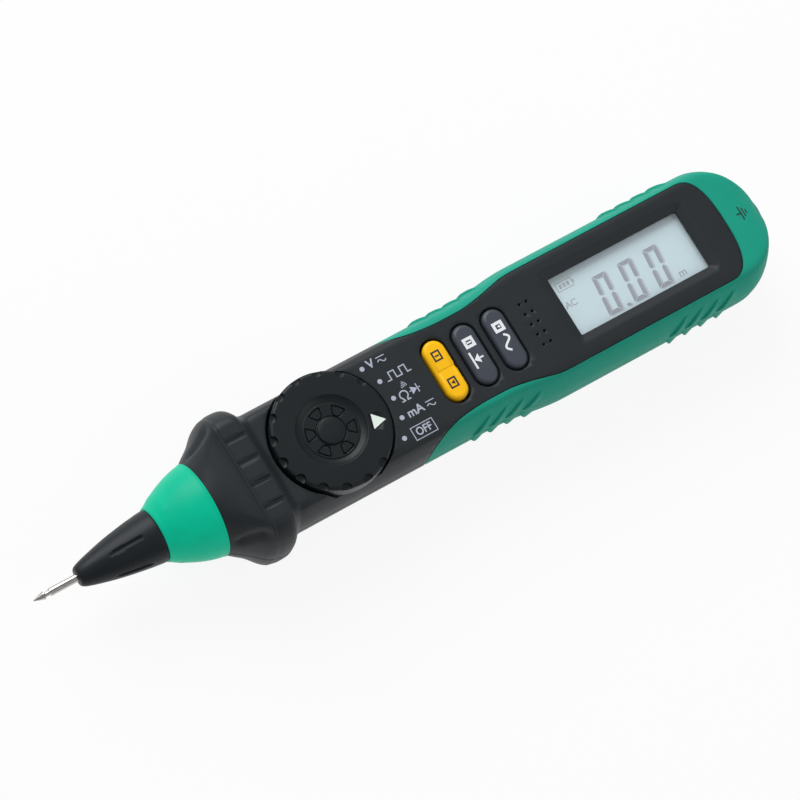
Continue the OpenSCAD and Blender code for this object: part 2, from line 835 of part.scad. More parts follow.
module selector_knob() color([0.12, 0.13, 0.15]) dial_frame() difference() {
    knob_form();
    for (i = [0 : petals - 1]) rotate([0, 0, 360 * i / petals]) petal_cut();
    step = 360 / rim_hollows;
    for (i = [hollow_skip : rim_hollows - hollow_skip]) rotate([0, 0, i * step])
        translate([knob_r - hollow_in, 0, knob_top]) sphere(r = hollow_r);
    translate([0, 0, knob_top - pointer_t]) linear_extrude(pointer_t + cut) pointer_outline(screw_gap);
}

module knob_pointer() color([0.9, 0.92, 0.9]) dial_frame()
    translate([0, 0, knob_top - pointer_t]) linear_extrude(pointer_t + pointer_proud) pointer_outline(0);

module wiper_disc() color([0.85, 0.85, 0.8]) dial_frame() difference() {
    translate([0, 0, wiper_z]) cylinder(h = wiper_t, r = wiper_r);
    translate([0, 0, wiper_z - cut]) cylinder(h = wiper_t + 2 * cut, r = shaft_end_r + seat_gap / 2);
    for (s = [-1, 1]) translate([0, s * pocket_in, pocket_z]) rotate([-s * 90, 0, 0])
        cylinder(h = wiper_r, r = pocket_r);
}

module wiper_contacts() color([0.85, 0.7, 0.35]) dial_frame() {
    low = board_top + run_gap;
    for (r = wiper_pad_rings) translate([r, 0, low]) cylinder(h = wiper_z - low, r = wiper_pad_r);
    box([wiper_pad_rings[0] - wiper_pad_r, -wiper_pad_r, wiper_z - strip_t / 2],
        [wiper_pad_rings[2] + wiper_pad_r, wiper_pad_r, wiper_z]);
}

module detent_ring() color([0.8, 0.8, 0.76]) place() translate([knob_x, 0, 0]) difference() {
    translate([0, 0, pan_in - detent_t]) cylinder(h = detent_t, r = detent_out);
    translate([0, 0, pan_in - detent_t - cut]) cylinder(h = detent_t + 2 * cut, r = detent_in);
    for (i = [0 : settings - 1]) for (s = [90, -90])
        rotate([0, 0, (i - (settings - 1) / 2) * setting_angle + s])
            translate([detent_in - notch_r / 2, 0, pan_in - detent_t - cut])
                cylinder(h = detent_t + 2 * cut, r = notch_r);
}

module detent_balls() color([0.85, 0.85, 0.87]) dial_frame()
    for (s = [-1, 1]) translate([0, s * ball_seat_r, pocket_z]) sphere(r = ball_r);

// A spring of round wire along Z that narrows to its tip
module coil(l, r0, r1, wire, turns) {
    steps = turns * spring_steps;
    n = spring_sides;
    rise = l - 2 * wire;
    points = [for (j = [0 : steps]) let (t = j / steps, a = 360 * turns * t, r = r0 + (r1 - r0) * t)
        for (i = [0 : n - 1]) let (b = 360 * i / n)
            [(r + wire * cos(b)) * cos(a), (r + wire * cos(b)) * sin(a), wire + rise * t + wire * sin(b)]];
    sides = [for (j = [0 : steps - 1]) for (i = [0 : n - 1]) let (k = (i + 1) % n)
        for (t = [0, 1]) t == 0
            ? [j * n + i, (j + 1) * n + i, (j + 1) * n + k]
            : [j * n + i, (j + 1) * n + k, j * n + k]];
    polyhedron(points = points, faces = concat([[for (i = [0 : n - 1]) i]], sides,
        [[for (i = [n - 1 : -1 : 0]) steps * n + i]]), convexity = 8);
}

module detent_springs() color([0.7, 0.7, 0.72]) dial_frame() for (s = [-1, 1])
    translate([0, s * (pocket_in + seat_gap), pocket_z]) rotate([-s * 90, 0, 0])
        coil(ball_seat_r - ball_r - pocket_in - 2 * seat_gap, detent_coil_r, detent_coil_r,
            detent_wire_r, detent_turns);

// A key from its plunger up to its rounded cap
module key_form(x, flange) {
    top = key_top - key_edge;
    slot(x, key_l, key_w, key_flange_top - key_flange_t, top);
    for (i = [1 : key_edge_steps]) {
        a = 90 * i / key_edge_steps;
        in = key_edge * (1 - cos(a));
        slot(x, key_l - 2 * in, key_w - 2 * in, top - key_edge / 2, top + key_edge * sin(a));
    }
    if (flange) slot(x, key_l + 2 * key_flange, key_w + 2 * key_flange,
        key_flange_top - key_flange_t, key_flange_top);
}

module press_key(x) {
    key_form(x, true);
    post(x, 0, plunger_z, key_flange_top - key_flange_t / 2, key_plunger_r);
}

module max_key() color([0.27, 0.28, 0.31]) place() press_key(max_x);
module func_key() color([0.27, 0.28, 0.31]) place() press_key(func_x);

module rocker_key() color([0.98, 0.72, 0.08]) place() {
    difference() {
        key_form(rocker_x, false);
        box([rocker_x - key_w, -rocker_split / 2, key_top - rocker_split_depth],
            [rocker_x + key_w, rocker_split / 2, key_top + cut]);
        post(rocker_x + key_w / 2 + notch_key_r - notch_key_in, 0, key_flange_top, key_top + cut,
            notch_key_r);
    }
    for (s = [-1, 1]) post(rocker_x, s * rocker_press_y, plunger_z, key_flange_top - key_flange_t / 2,
        key_plunger_r);
    box([rocker_x - key_w / 2 + loose, -trunnion_r, rocker_pivot_z - trunnion_r],
        [rocker_x + key_w / 2 - loose, trunnion_r, key_flange_top - key_flange_t / 2]);
    half = key_w / 2 + lug_gap + trunnion_l;
    translate([rocker_x - half, 0, rocker_pivot_z]) rotate([0, 90, 0])
        cylinder(h = 2 * half, r = trunnion_r);
}

module keypad_sheet() color([0.55, 0.55, 0.58]) place()
    box([rocker_x - keypad_margin, -keypad_half_w, board_top],
        [func_x + keypad_margin - loose, keypad_half_w, sheet_top]);

module dome(x, y) {
    translate([x, y, sheet_top]) rotate_extrude() polygon([[0, 0], [dome_r, 0],
        [dome_r, dome_h * dome_foot_share], [dome_tip_r, dome_h * dome_head_share],
        [dome_tip_r, dome_h], [0, dome_h]]);
}

module rocker_domes() color([0.6, 0.6, 0.63]) place() for (s = [-1, 1]) dome(rocker_x, s * rocker_press_y);
module max_dome() color([0.6, 0.6, 0.63]) place() dome(max_x, 0);
module func_dome() color([0.6, 0.6, 0.63]) place() dome(func_x, 0);

module window_lens() color([0.85, 0.9, 0.92, 0.4]) place() {
    y = window_w / 2;
    g = lens_gap;
    m = lens_margin;
    box([window_x - m, -y - m, face_in - lens_t], [window_end + m, y + m, face_in]);
    box([window_x + g, -y + g, face_in - lens_t / 2], [window_end - g, y - g, face_in + lens_pad_t]);
}

glass_top = face_in - lens_t - seat_gap;
module lcd_glass() color([0.74, 0.81, 0.83]) place() {
    y = window_w / 2 + glass_margin;
    box([window_x - glass_margin, -y, glass_top - glass_t], [window_end + glass_margin, y, glass_top]);
}

module lcd_frame() color([0.9, 0.9, 0.88]) place() {
    y = window_w / 2 + frame_margin;
    m = frame_margin;
    g = glass_margin + seat_gap;
    in = frame_margin - frame_wall;
    difference() {
        box([window_x - m, -y, board_top], [window_end + in, y, glass_top - seat_gap]);
        box([window_x - g, -y + m - g, glass_top - glass_t], [window_end + g, y - m + g, glass_top + cut]);
        box([window_x, -y + m, board_top - cut], [window_end - cut, y - frame_wall * 2, glass_top]);
    }
}

module zebra_strip() color([0.85, 0.5, 0.55]) place() {
    y1 = window_w / 2 + frame_margin - frame_wall * 2 - zebra_gap;
    box([window_x + zebra_gap, y1 - zebra_w, board_top],
        [window_end - cut - zebra_gap, y1, glass_top - glass_t]);
}

module circuit_board() color([0.08, 0.4, 0.24]) place() {
    side = grip_t + side_wall + board_gap;
    stations = concat([board_x], flare_stations(), [board_end]);
    n = len(stations) - 1;
    difference() {
        translate([0, 0, board_z]) linear_extrude(board_t) polygon(concat(
            [for (x = stations) [x, half_w(x) - side]],
            [for (i = [n : -1 : 0]) [stations[i], side - half_w(stations[i])]]));
        post(knob_x, 0, board_z - cut, board_top + cut, board_hole_r);
        board_screw_places() translate([0, 0, board_z - cut])
            cylinder(h = board_t + 2 * cut, r = board_screw_r + run_gap);
    }
}

module meter_chip() color([0.08, 0.08, 0.09]) place() {
    x = window_x + chip_share * window_l;
    box([x - chip_w / 2, -chip_w / 2, board_top], [x + chip_w / 2, chip_w / 2, board_top + chip_t]);
}

module buzzer() color([0.15, 0.15, 0.16]) place() difference() {
    post(buzzer_x, 0, board_top, board_top + buzzer_t, buzzer_r);
    post(buzzer_x, 0, board_top + buzzer_t / 2, board_top + buzzer_t + cut, buzzer_hole_r);
}

module fuse() color([0.75, 0.77, 0.78]) place() along_x(fuse_x - fuse_l / 2) translate([-fuse_z, 0, 0]) {
    cylinder(h = fuse_l, r = fuse_glass_r);
    for (z = [0, fuse_l - fuse_cap_l]) translate([0, 0, z]) cylinder(h = fuse_cap_l, r = fuse_r);
}

module fuse_clips() color([0.8, 0.78, 0.7]) place() for (s = [-1, 1]) {
    x = fuse_x + s * clip_share * fuse_l;
    w = fuse_r + clip_t;
    difference() {
        box([x - clip_l / 2, -w, fuse_z - fuse_r / 2], [x + clip_l / 2, w, board_z]);
        box([x - clip_l, -fuse_r - seat_gap, fuse_z - fuse_r],
            [x + clip_l, fuse_r + seat_gap, board_z - clip_t]);
    }
}

module cell_places() {
    for (s = [-1, 1]) {
        plate = plate_t + bay_slack / 2;
        x = s > 0 ? bay_x + plate + spring_l : bay_x + plate + bay_slack / 2;
        translate([x, s * cell_y, -cell_z]) mirror([s > 0 ? 0 : 1, 0, 0])
            translate([s > 0 ? 0 : -cell_l, 0, 0]) children();
    }
}

module batteries() color([0.75, 0.6, 0.25]) place() cell_places() rotate([0, 90, 0]) {
    cylinder(h = cell_l - cell_nub_l, r = cell_r);
    cylinder(h = cell_l, r = cell_nub_r);
}

module battery_springs() color([0.75, 0.76, 0.78]) place() for (s = [-1, 1]) {
    x = s > 0 ? bay_x + plate_t + seat_gap : bay_end - plate_t - seat_gap;
    translate([x, s * cell_y, -cell_z]) rotate([0, s * 90, 0])
        coil(spring_l, spring_r, spring_tip_r, spring_wire_r, spring_turns);
}

module battery_plates() color([0.7, 0.71, 0.74]) place() {
    half = plate_half_w;
    for (s = [-1, 1]) for (x = [bay_x, bay_end - plate_t])
        box([x, s * cell_y - half, -cell_z - half], [x + plate_t, s * cell_y + half, -cell_z + half]);
}

module battery_cover() color([0.1, 0.11, 0.13]) place() {
    y = cover_half_w - cover_gap;
    lip = bay_half_w - cover_gap;
    low = -base_z + cover_sunk;
    difference() {
        union() {
            box([cover_front, -y, low], [cover_rear - cover_gap, y, -cover_in]);
            box([bay_x + cover_gap, -lip, -cover_in - cut],
                [bay_end - cover_gap, lip, -cover_in + cover_lip_h]);
        }
        box([bay_x + cover_gap + cover_lip, -lip + cover_lip, -cover_in],
            [bay_end - cover_gap - cover_lip, lip - cover_lip, -cover_in + cover_lip_h + cut]);
        post(cover_screw_x, 0, low - cut, -cover_in + cut, cover_screw_r + run_gap);
        post(cover_screw_x, 0, low - cut, low + cover_head_t, cover_head_r + run_gap);
        for (i = [0 : cover_grooves - 1]) {
            x = cover_rear - cover_groove_edge - cover_groove_pitch * i;
            box([x, -y / 2, low - cut], [x + cover_groove_w, y / 2, low + cover_groove_depth]);
        }
    }
}

// A screw with a cross slot, head down, with its head's top at z = 0
module screw(l, r, head_r, head_t) {
    difference() {
        union() {
            cylinder(h = head_t, r = head_r);
            cylinder(h = l, r = r);
        }
        for (a = [0, 90]) rotate([0, 0, a])
            box([-head_r * cross_l_share, -head_r * cross_w_share, -cut],
                [head_r * cross_l_share, head_r * cross_w_share, head_t * cross_t_share]);
    }
}

module cover_screw() color([0.7, 0.71, 0.73]) place()
    translate([cover_screw_x, 0, -base_z + cover_sunk])
        screw(cover_t + cover_screw_l - loose, cover_screw_r, cover_head_r, cover_head_t);

module housing_screws() color([0.7, 0.71, 0.73]) place() housing_screw_places()
    translate([0, 0, -base_z + screw_sink])
        screw(base_z - screw_sink + screw_up - loose, screw_r, screw_head_r, screw_head_t);

module board_screws() color([0.7, 0.71, 0.73]) place() board_screw_places()
    translate([0, 0, board_z - board_head_t])
        screw(board_head_t + board_t + board_screw_l - 2 * cut, board_screw_r, board_head_r, board_head_t);

module jack_body() color([0.08, 0.09, 0.1]) place() along_x(jack_x) difference() {
    cylinder(h = jack_l, r = jack_r);
    translate([0, 0, jack_floor]) difference() {
        cylinder(h = jack_l, r = jack_r - jack_collar_t);
        translate([0, 0, -cut]) cylinder(h = jack_l - jack_floor - cut, r = jack_post_r);
    }
    translate([0, 0, -cut]) cylinder(h = jack_l + 2 * cut, r = jack_bore_r + jack_tube_t + seat_gap / 2);
}

module com_jack() color([0.8, 0.65, 0.3]) place() along_x(jack_x - jack_tail_l) difference() {
    cylinder(h = jack_l + jack_tail_l - 2 * cut, r = jack_bore_r + jack_tube_t);
    translate([0, 0, jack_tail_l]) cylinder(h = jack_l, r = jack_bore_r);
}

module com_strip() color([0.8, 0.66, 0.35]) place() {
    r = jack_bore_r + jack_tube_t;
    difference() {
        box([board_end - strip_w * 2, -strip_w, board_z - strip_t],
            [jack_x - jack_tail_l / 2, strip_w, board_z]);
        along_x(jack_x - jack_tail_l) cylinder(h = jack_tail_l, r = r);
    }
}

probe_needle();
needle_socket();
nose_cone();
light_ring();
led_board();
logic_leds();
probe_strip();
front_housing();
rear_housing();
front_grip();
rear_grip();
selector_knob();
knob_pointer();
wiper_disc();
wiper_contacts();
detent_ring();
detent_balls();
detent_springs();
rocker_key();
max_key();
func_key();
keypad_sheet();
rocker_domes();
max_dome();
func_dome();
window_lens();
lcd_glass();
lcd_frame();
zebra_strip();
circuit_board();
meter_chip();
buzzer();
fuse();
fuse_clips();
batteries();
battery_springs();
battery_plates();
battery_cover();
cover_screw();
housing_screws();
board_screws();
jack_body();
com_jack();
com_strip();
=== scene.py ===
# %% [markdown]
# A pen multimeter is a test probe with its meter built into the handle. The needle and the green light
# ring are at one end, the COM socket is at the other, and between them lie a finger guard, a dial, three
# keys and a display. This lesson dresses the exact CAD model with the surfaces that the real meter shows.
# The CAD model is the frame: every new piece takes its place from it, so nothing has to be fitted.

# %% Load the frame
import json
import math

import bmesh
import bpy
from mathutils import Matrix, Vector


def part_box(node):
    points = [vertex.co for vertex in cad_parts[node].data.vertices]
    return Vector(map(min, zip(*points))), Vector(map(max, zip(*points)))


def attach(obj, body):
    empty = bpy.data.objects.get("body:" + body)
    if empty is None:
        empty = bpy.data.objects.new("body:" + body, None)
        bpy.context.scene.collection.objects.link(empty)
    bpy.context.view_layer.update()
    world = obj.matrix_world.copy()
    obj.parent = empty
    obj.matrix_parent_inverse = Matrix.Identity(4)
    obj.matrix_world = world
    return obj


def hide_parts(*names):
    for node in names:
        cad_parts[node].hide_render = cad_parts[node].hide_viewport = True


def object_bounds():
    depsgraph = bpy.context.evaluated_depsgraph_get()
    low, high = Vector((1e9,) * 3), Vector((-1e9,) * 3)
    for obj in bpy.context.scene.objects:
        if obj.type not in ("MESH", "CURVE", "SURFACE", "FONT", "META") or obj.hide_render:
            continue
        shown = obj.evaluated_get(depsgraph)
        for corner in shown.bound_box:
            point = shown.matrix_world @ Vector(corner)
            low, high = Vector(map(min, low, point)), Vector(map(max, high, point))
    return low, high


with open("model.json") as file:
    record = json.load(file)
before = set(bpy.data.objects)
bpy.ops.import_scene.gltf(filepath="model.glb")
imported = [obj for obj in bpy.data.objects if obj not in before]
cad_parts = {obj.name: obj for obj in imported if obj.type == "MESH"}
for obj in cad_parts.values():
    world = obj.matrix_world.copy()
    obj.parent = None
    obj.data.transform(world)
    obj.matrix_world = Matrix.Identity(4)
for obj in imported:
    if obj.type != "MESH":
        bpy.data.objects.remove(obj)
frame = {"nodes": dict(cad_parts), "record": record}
cad_low, cad_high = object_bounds()
print("CAD box", [round(v, 4) for v in (*cad_low, *cad_high)])

# %% [markdown]
# All the pieces sit on the probe's axis. Pen places are in millimetres: x from the needle's tip, y to the
# side and z up from the axis. `pen` turns them into metres in the frame, and `span` goes the other way.

# %% Pen places
MM = 0.001
tip_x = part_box("probe_needle")[0].x
axis_z = sum(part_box("probe_needle"), Vector()).z / 2


def pen(x, y=0.0, z=0.0):
    return Vector((tip_x + x * MM, y * MM, axis_z + z * MM))


def span(node):
    low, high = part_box(node)
    return [Vector(((p.x - tip_x) / MM, p.y / MM, (p.z - axis_z) / MM)) for p in (low, high)]


def middle_x(node):
    low, high = span(node)
    return (low.x + high.x) / 2


knob_x, knob_high = middle_x("selector_knob"), span("selector_knob")[1]
print("knob centre at", round(knob_x, 2), "top at", round(knob_high.z, 2))

# %% [markdown]
# The camera comes first, because it decides how much detail a piece needs. A long lens, one metre away,
# gives the calm perspective of a product photo. The camera is moved a little sideways instead of shifted,
# so that the meter lies where it does in the picture.

# %% Camera
PICTURE = 800
SENSOR = 36.0
PIXELS_PER_MM = 4.133
AWAY = 1000.0
lean = Vector((-0.318, -0.177, 0.0))
lean.z = math.sqrt(1 - lean.length_squared)
roll = -0.007
picture_turn = math.radians(27.8)
right_move, up_move = -0.87, 0.57

along = (Vector((1, 0, 0)) - lean.x * lean).normalized()
across = lean.cross(along)
along, across = (
    math.cos(roll) * along + math.sin(roll) * across,
    math.cos(roll) * across - math.sin(roll) * along,
)
right = math.cos(picture_turn) * along - math.sin(picture_turn) * across
up = math.sin(picture_turn) * along + math.cos(picture_turn) * across

camera_data = bpy.data.cameras.new("photo_camera")
camera_data.sensor_width = SENSOR
camera_data.lens = PIXELS_PER_MM * AWAY / PICTURE * SENSOR
camera_data.clip_start = 0.05
camera_data.clip_end = 10
camera = bpy.data.objects.new("photo_camera", camera_data)
bpy.context.scene.collection.objects.link(camera)
middle = pen((cad_high.x - cad_low.x) / 2 / MM)
camera.matrix_world.translation = middle + (AWAY * lean + right_move * right + up_move * up) * MM
for row in range(3):
    for column, direction in enumerate((right, up, lean)):
        camera.matrix_world[row][column] = direction[row]
bpy.context.scene.camera = camera
print("lens", round(camera_data.lens, 1), "mm")

# %% [markdown]
# The studio is a pale floor, a pale world and two soft lamps. The main lamp hangs over the picture's upper
# edge, a little to the left, where the light and dark sides of the knob's dish say it was. The floor turns
# white for the camera, but it is lit as an ordinary floor, so that the meter keeps its soft shadow.

# %% Floor, world and lamps
scene = bpy.context.scene
scene.view_settings.view_transform = "Standard"
FLOOR_SIZE = 6.0
bpy.ops.object.select_all(action="DESELECT")
bpy.ops.mesh.primitive_plane_add(size=FLOOR_SIZE, location=(0, 0, 0))
floor = bpy.context.object
floor.name = "floor"


def seen_as_background(tree):
    """1 where a ray comes from the camera, a mirror or clear glass."""
    rays = tree.nodes.new("ShaderNodeLightPath")
    total = rays.outputs["Is Camera Ray"]
    for name in ("Is Glossy Ray", "Is Transmission Ray"):
        add = tree.nodes.new("ShaderNodeMath")
        add.operation = "MAXIMUM"
        tree.links.new(total, add.inputs[0])
        tree.links.new(rays.outputs[name], add.inputs[1])
        total = add.outputs[0]
    return total


floor_finish = bpy.data.materials.new("floor_paper")
floor_finish.use_nodes = True
floor_tree = floor_finish.node_tree
floor_tree.nodes.clear()
paper = floor_tree.nodes.new("ShaderNodeBsdfDiffuse")
paper.inputs["Color"].default_value = (0.88, 0.88, 0.88, 1)
white = floor_tree.nodes.new("ShaderNodeEmission")
white_share = floor_tree.nodes.new("ShaderNodeMath")
white_share.operation = "MULTIPLY"
white_share.inputs[1].default_value = 0.9
mix = floor_tree.nodes.new("ShaderNodeMixShader")
out = floor_tree.nodes.new("ShaderNodeOutputMaterial")
link = floor_tree.links.new
link(seen_as_background(floor_tree), white_share.inputs[0])
link(white_share.outputs[0], mix.inputs[0])
link(paper.outputs[0], mix.inputs[1])
link(white.outputs[0], mix.inputs[2])
link(mix.outputs[0], out.inputs["Surface"])
floor.data.materials.append(floor_finish)

world = bpy.data.worlds.new("studio")
scene.world = world
world.use_nodes = True
sky = world.node_tree.nodes["Background"]
sky.inputs["Color"].default_value = (1, 1, 1, 1)
sky.inputs["Strength"].default_value = 0.32


def soft_lamp(name, place, size, watts):
    data = bpy.data.lights.new(name, "AREA")
    data.size = size
    data.energy = watts
    lamp = bpy.data.objects.new(name, data)
    scene.collection.objects.link(lamp)
    lamp.location = place
    lamp.rotation_euler = (middle - Vector(place)).to_track_quat("-Z", "Y").to_euler()
    print(name, "at", [round(v, 2) for v in place])


soft_lamp("main_lamp", Vector((-0.05, 0.95, 0.8)), 0.9, 14.5)
soft_lamp("fill_lamp", Vector((0.7, -0.7, 0.7)), 0.9, 3.0)

# %% [markdown]
# A finish is a small network of nodes. Writing it as Python expressions keeps it readable: `Wire` wraps a
# socket, and a sum or a product of wires adds its own Math node.

# %% Finishes as expressions


class Wire:
    def __init__(self, finish, socket):
        self.finish = finish
        self.socket = socket

    def maths(self, operation, *values):
        return self.finish.node("ShaderNodeMath", {"operation": operation}, dict(enumerate(values)))

    def __add__(self, other):
        return self.maths("ADD", self, other)

    def __mul__(self, other):
        return self.maths("MULTIPLY", self, other)

    __radd__ = __add__
    __rmul__ = __mul__

    def above(self, edge, soft):
        """0 below the edge and 1 above it, with a soft step."""
        return self.finish.node(
            "ShaderNodeMapRange",
            {"interpolation_type": "SMOOTHSTEP"},
            {"Value": self, "From Min": edge - soft, "From Max": edge + soft},
        )


class Finish:
    def __init__(self, name, **sockets):
        self.material = bpy.data.materials.new(name)
        self.material.use_nodes = True
        self.tree = self.material.node_tree
        self.shader = self.tree.nodes["Principled BSDF"]
        self.set(**sockets)
        print("finish", name)

    def node(self, kind, settings=None, inputs=None, output=0):
        made = self.tree.nodes.new(kind)
        for key, value in (settings or {}).items():
            setattr(made, key, value)
        for key, value in (inputs or {}).items():
            self.feed(made.inputs[key], value)
        return Wire(self, made.outputs[output])

    def feed(self, socket, value):
        if isinstance(value, Wire):
            self.tree.links.new(value.socket, socket)
        elif isinstance(value, tuple) and len(value) == 3 and len(socket.default_value) == 4:
            socket.default_value = (*value, 1)
        else:
            socket.default_value = value

    def set(self, **sockets):
        for key, value in sockets.items():
            self.feed(self.shader.inputs[key.replace("_", " ")], value)

    def place(self):
        return self.node("ShaderNodeTexCoord", output="Object")

    def along(self):
        """The place along the meter, in metres."""
        return self.node("ShaderNodeSeparateXYZ", inputs={0: self.place()})

    def noise(self, grain_mm, detail=2.0, stretch=(1, 1, 1)):
        """Noise with grains of about that size."""
        spot = self.node("ShaderNodeMapping", inputs={"Vector": self.place(), "Scale": stretch})
        return self.node(
            "ShaderNodeTexNoise", inputs={"Vector": spot, "Scale": 1 / (grain_mm * MM), "Detail": detail}
        )

    def colours(self, factor, first, second):
        mixed = self.node("ShaderNodeMix", {"data_type": "RGBA"}, output=2)
        node = mixed.socket.node
        self.feed(node.inputs[0], factor)
        self.feed(node.inputs[6], first)
        self.feed(node.inputs[7], second)
        return mixed

    def uneven(self, wander, colour, spread, roughness, change):
        """Colour and gloss that wander a little with a noise."""
        self.set(
            Base_Color=self.colours(wander, *shades(colour, spread)),
            Roughness=roughness - change + 2 * change * wander,
        )

    def bump(self, height, depth_mm):
        self.set(Normal=self.node("ShaderNodeBump", inputs={"Height": height, "Distance": depth_mm * MM}))


print("wires and finishes ready")

# %% [markdown]
# Three kinds of finish are enough: moulded plastic with a fine grain, clear tinted plastic with a painted
# glow and a painted highlight at its rim, and metal with faint streaks. Each takes a colour, a roughness and
# how far both wander.

# %% Kinds of finish
CLOUD_MM = 9.0


def shades(colour, spread):
    """A darker and a lighter shade of a colour."""
    return tuple(c * (1 - spread) for c in colour), tuple(c * (1 + spread) for c in colour)


def moulded(name, colour, roughness, grain_mm=0.35, depth_mm=0.012, spread=0.06, **sockets):
    """Moulded plastic: slow changes of shade, a fine grain and slightly uneven gloss."""
    finish = Finish(name, **sockets)
    finish.uneven(finish.noise(CLOUD_MM), colour, spread, roughness, 0.05)
    finish.bump(finish.noise(grain_mm, 3.0), depth_mm)
    return finish.material


def painted_glow(name, colour, roughness):
    """Clear tinted plastic with a painted glow that keeps its shaded side bright, and a painted highlight at
    its rear rim.
    """
    finish = Finish(name, Specular_IOR_Level=0.15, Emission_Strength=0.6)
    cloud = finish.noise(7.0)
    finish.uneven(cloud, colour, 0.08, roughness, 0.04)
    # Painted highlight: the emission colour is lighter along the last 0.7 mm of the ring's rear rim
    rim = span("light_ring")[1].x - 0.7
    painted_rim_highlight = finish.along().above(pen(rim).x, 0.25 * MM)
    # Painted glow: an emission colour that wanders with the cloud, so the ring's shaded side stays lit
    painted_glow_colour = finish.colours(cloud, *shades(colour, 0.2))
    finish.set(Emission_Color=finish.colours(painted_rim_highlight, painted_glow_colour, tuple(1.5 * c + 0.02 for c in colour)))
    return finish.material


def metal(name, colour, roughness, streak=(1, 1, 1), spread=0.12):
    """Metal with faint streaks from turning, drawing or plating."""
    finish = Finish(name, Metallic=1.0)
    streaks = finish.noise(0.5, 4.0, streak)
    finish.uneven(streaks, colour, spread, roughness, 0.06)
    finish.bump(streaks, 0.0012)
    return finish.material


print("kinds of finish ready")

# %% [markdown]
# The record names a finish for each CAD node. The pieces that stay as the CAD made them, and the new ones,
# share these finishes: satin black and soft green mouldings, bright plating, brass, steel and card.

# %% The finishes
FINISHES = {
    "nickel": metal("bright_nickel", (0.5, 0.48, 0.46), 0.2, (0.03, 1, 1), 0.75),
    "brass": metal("turned_brass", (0.72, 0.5, 0.2), 0.3, (1, 0.2, 0.2)),
    "steel": metal("zinc_plated_steel", (0.55, 0.56, 0.58), 0.35),
    "black_rubber": moulded("nose_black", (0.013, 0.017, 0.021), 0.42, Specular_IOR_Level=0.2),
    "black_plastic": moulded("housing_black", (0.0215, 0.0265, 0.0305), 0.46, Specular_IOR_Level=0.2),
    "knob_black": moulded("knob_black", (0.0105, 0.0145, 0.0165), 0.4, Specular_IOR_Level=0.22),
    "socket_black": moulded("socket_black", (0.01, 0.01, 0.012), 0.25),
    "chip_black": moulded("chip_epoxy", (0.012, 0.012, 0.013), 0.6),
    "grip_green": moulded("grip_green", (0.011, 0.33, 0.23), 0.55, Specular_IOR_Level=0.15),
    "board_green": moulded("solder_mask", (0.02, 0.16, 0.07), 0.3),
    # The light ring's finish paints a glow, and a highlight along its rear rim
    "ring_green": painted_glow("ring_green", (0.0, 0.32, 0.19), 0.42),
    "led_clear": moulded("led_epoxy", (0.8, 0.8, 0.75), 0.15, 1.5, 0.002),
    "pointer_white": moulded("pointer_white", (0.8, 0.9, 0.82), 0.35),
    "white_plastic": moulded("acetal_white", (0.75, 0.75, 0.7), 0.45),
    "key_yellow": moulded("key_yellow", (1.0, 0.535, 0.006), 0.42, Specular_IOR_Level=0.2),
    "key_grey": moulded("key_grey", (0.05, 0.06, 0.078), 0.42, Specular_IOR_Level=0.4),
    "silicone_grey": moulded("silicone_grey", (0.3, 0.3, 0.32), 0.6),
    "silicone_pink": moulded("silicone_pink", (0.65, 0.3, 0.33), 0.6),
    "lcd_grey": moulded("display_grey", (0.6, 0.755, 0.81), 0.3, 3.0, 0.0, 0.02),
    "clear_lens": moulded("clear_lens", (0.9, 0.95, 0.97), 0.1, 3.0, 0.0, 0.01, Alpha=0.1),
    "cell_jacket": metal("cell_jacket", (0.5, 0.28, 0.06), 0.35),
    "fuse_glass": metal("fuse_caps", (0.6, 0.62, 0.64), 0.25),
}
for part in frame["record"]["subparts"]:
    node = frame["nodes"][part["node"]]
    node.data.materials.clear()
    node.data.materials.append(FINISHES[part["material_slot"]])
print(len(FINISHES), "finishes on", len(frame["nodes"]), "nodes")

# %% [markdown]
# The housing is the form that takes most skill: a round collar swells into the finger guard, dips, and
# runs into a body that is flat on top, soft at the shoulders and wider at the display. It is a loft. Each
# cross-section is a smooth curve, and its width and height follow smooth curves along the meter. Ready
# primitives can't give that, so a disc is extruded ring by ring and each ring is put on its section.

# %% Curves through a few points


def smooth_through(points, t):
    """The value at t of a curve through (place, value) points, without overshoot."""
    if t <= points[0][0]:
        return points[0][1]
    if t >= points[-1][0]:
        return points[-1][1]
    i = max(k for k in range(len(points) - 1) if points[k][0] <= t)
    steps = [(b[1] - a[1]) / (b[0] - a[0]) for a, b in zip(points, points[1:])]

    def slope(k):
        before, after = steps[max(k - 1, 0)], steps[min(k, len(steps) - 1)]
        return 0 if before * after <= 0 else 2 * before * after / (before + after)

    (t0, v0), (t1, v1) = points[i], points[i + 1]
    gap = t1 - t0
    s = (t - t0) / gap
    return (
        v0 * (1 + 2 * s) * (1 - s) ** 2
        + slope(i) * gap * s * (1 - s) ** 2
        + v1 * s * s * (3 - 2 * s)
        + slope(i + 1) * gap * s * s * (s - 1)
    )


def soft_step(t):
    t = min(max(t, 0), 1)
    return t * t * (3 - 2 * t)


print("half way up a soft step:", soft_step(0.5))

# %% [markdown]
# The driving sizes are those of the CAD model. Where the frame shows them, they are read from it.

# %% Sizes of the housing, in millimetres
guard_half = span("front_housing")[1].y
base = -span("rear_housing")[0].z
end_x = span("front_grip")[1].x
RING_SEAT = 4.4
collar_x = span("light_ring")[1].x - RING_SEAT
face = 10.8
waist_half, display_half = 15.5, 17.3
waist_depth = 12.5
collar_r = 12.1
body_x = collar_x + 19.8
round_x = end_x - 15
panel_x, panel_end = 99.0, 196.5
panel_half = 14.0
flare_x, flare_l, back_lead = 123.96, 18.04, 12.0
SIDE_POINTS = 44
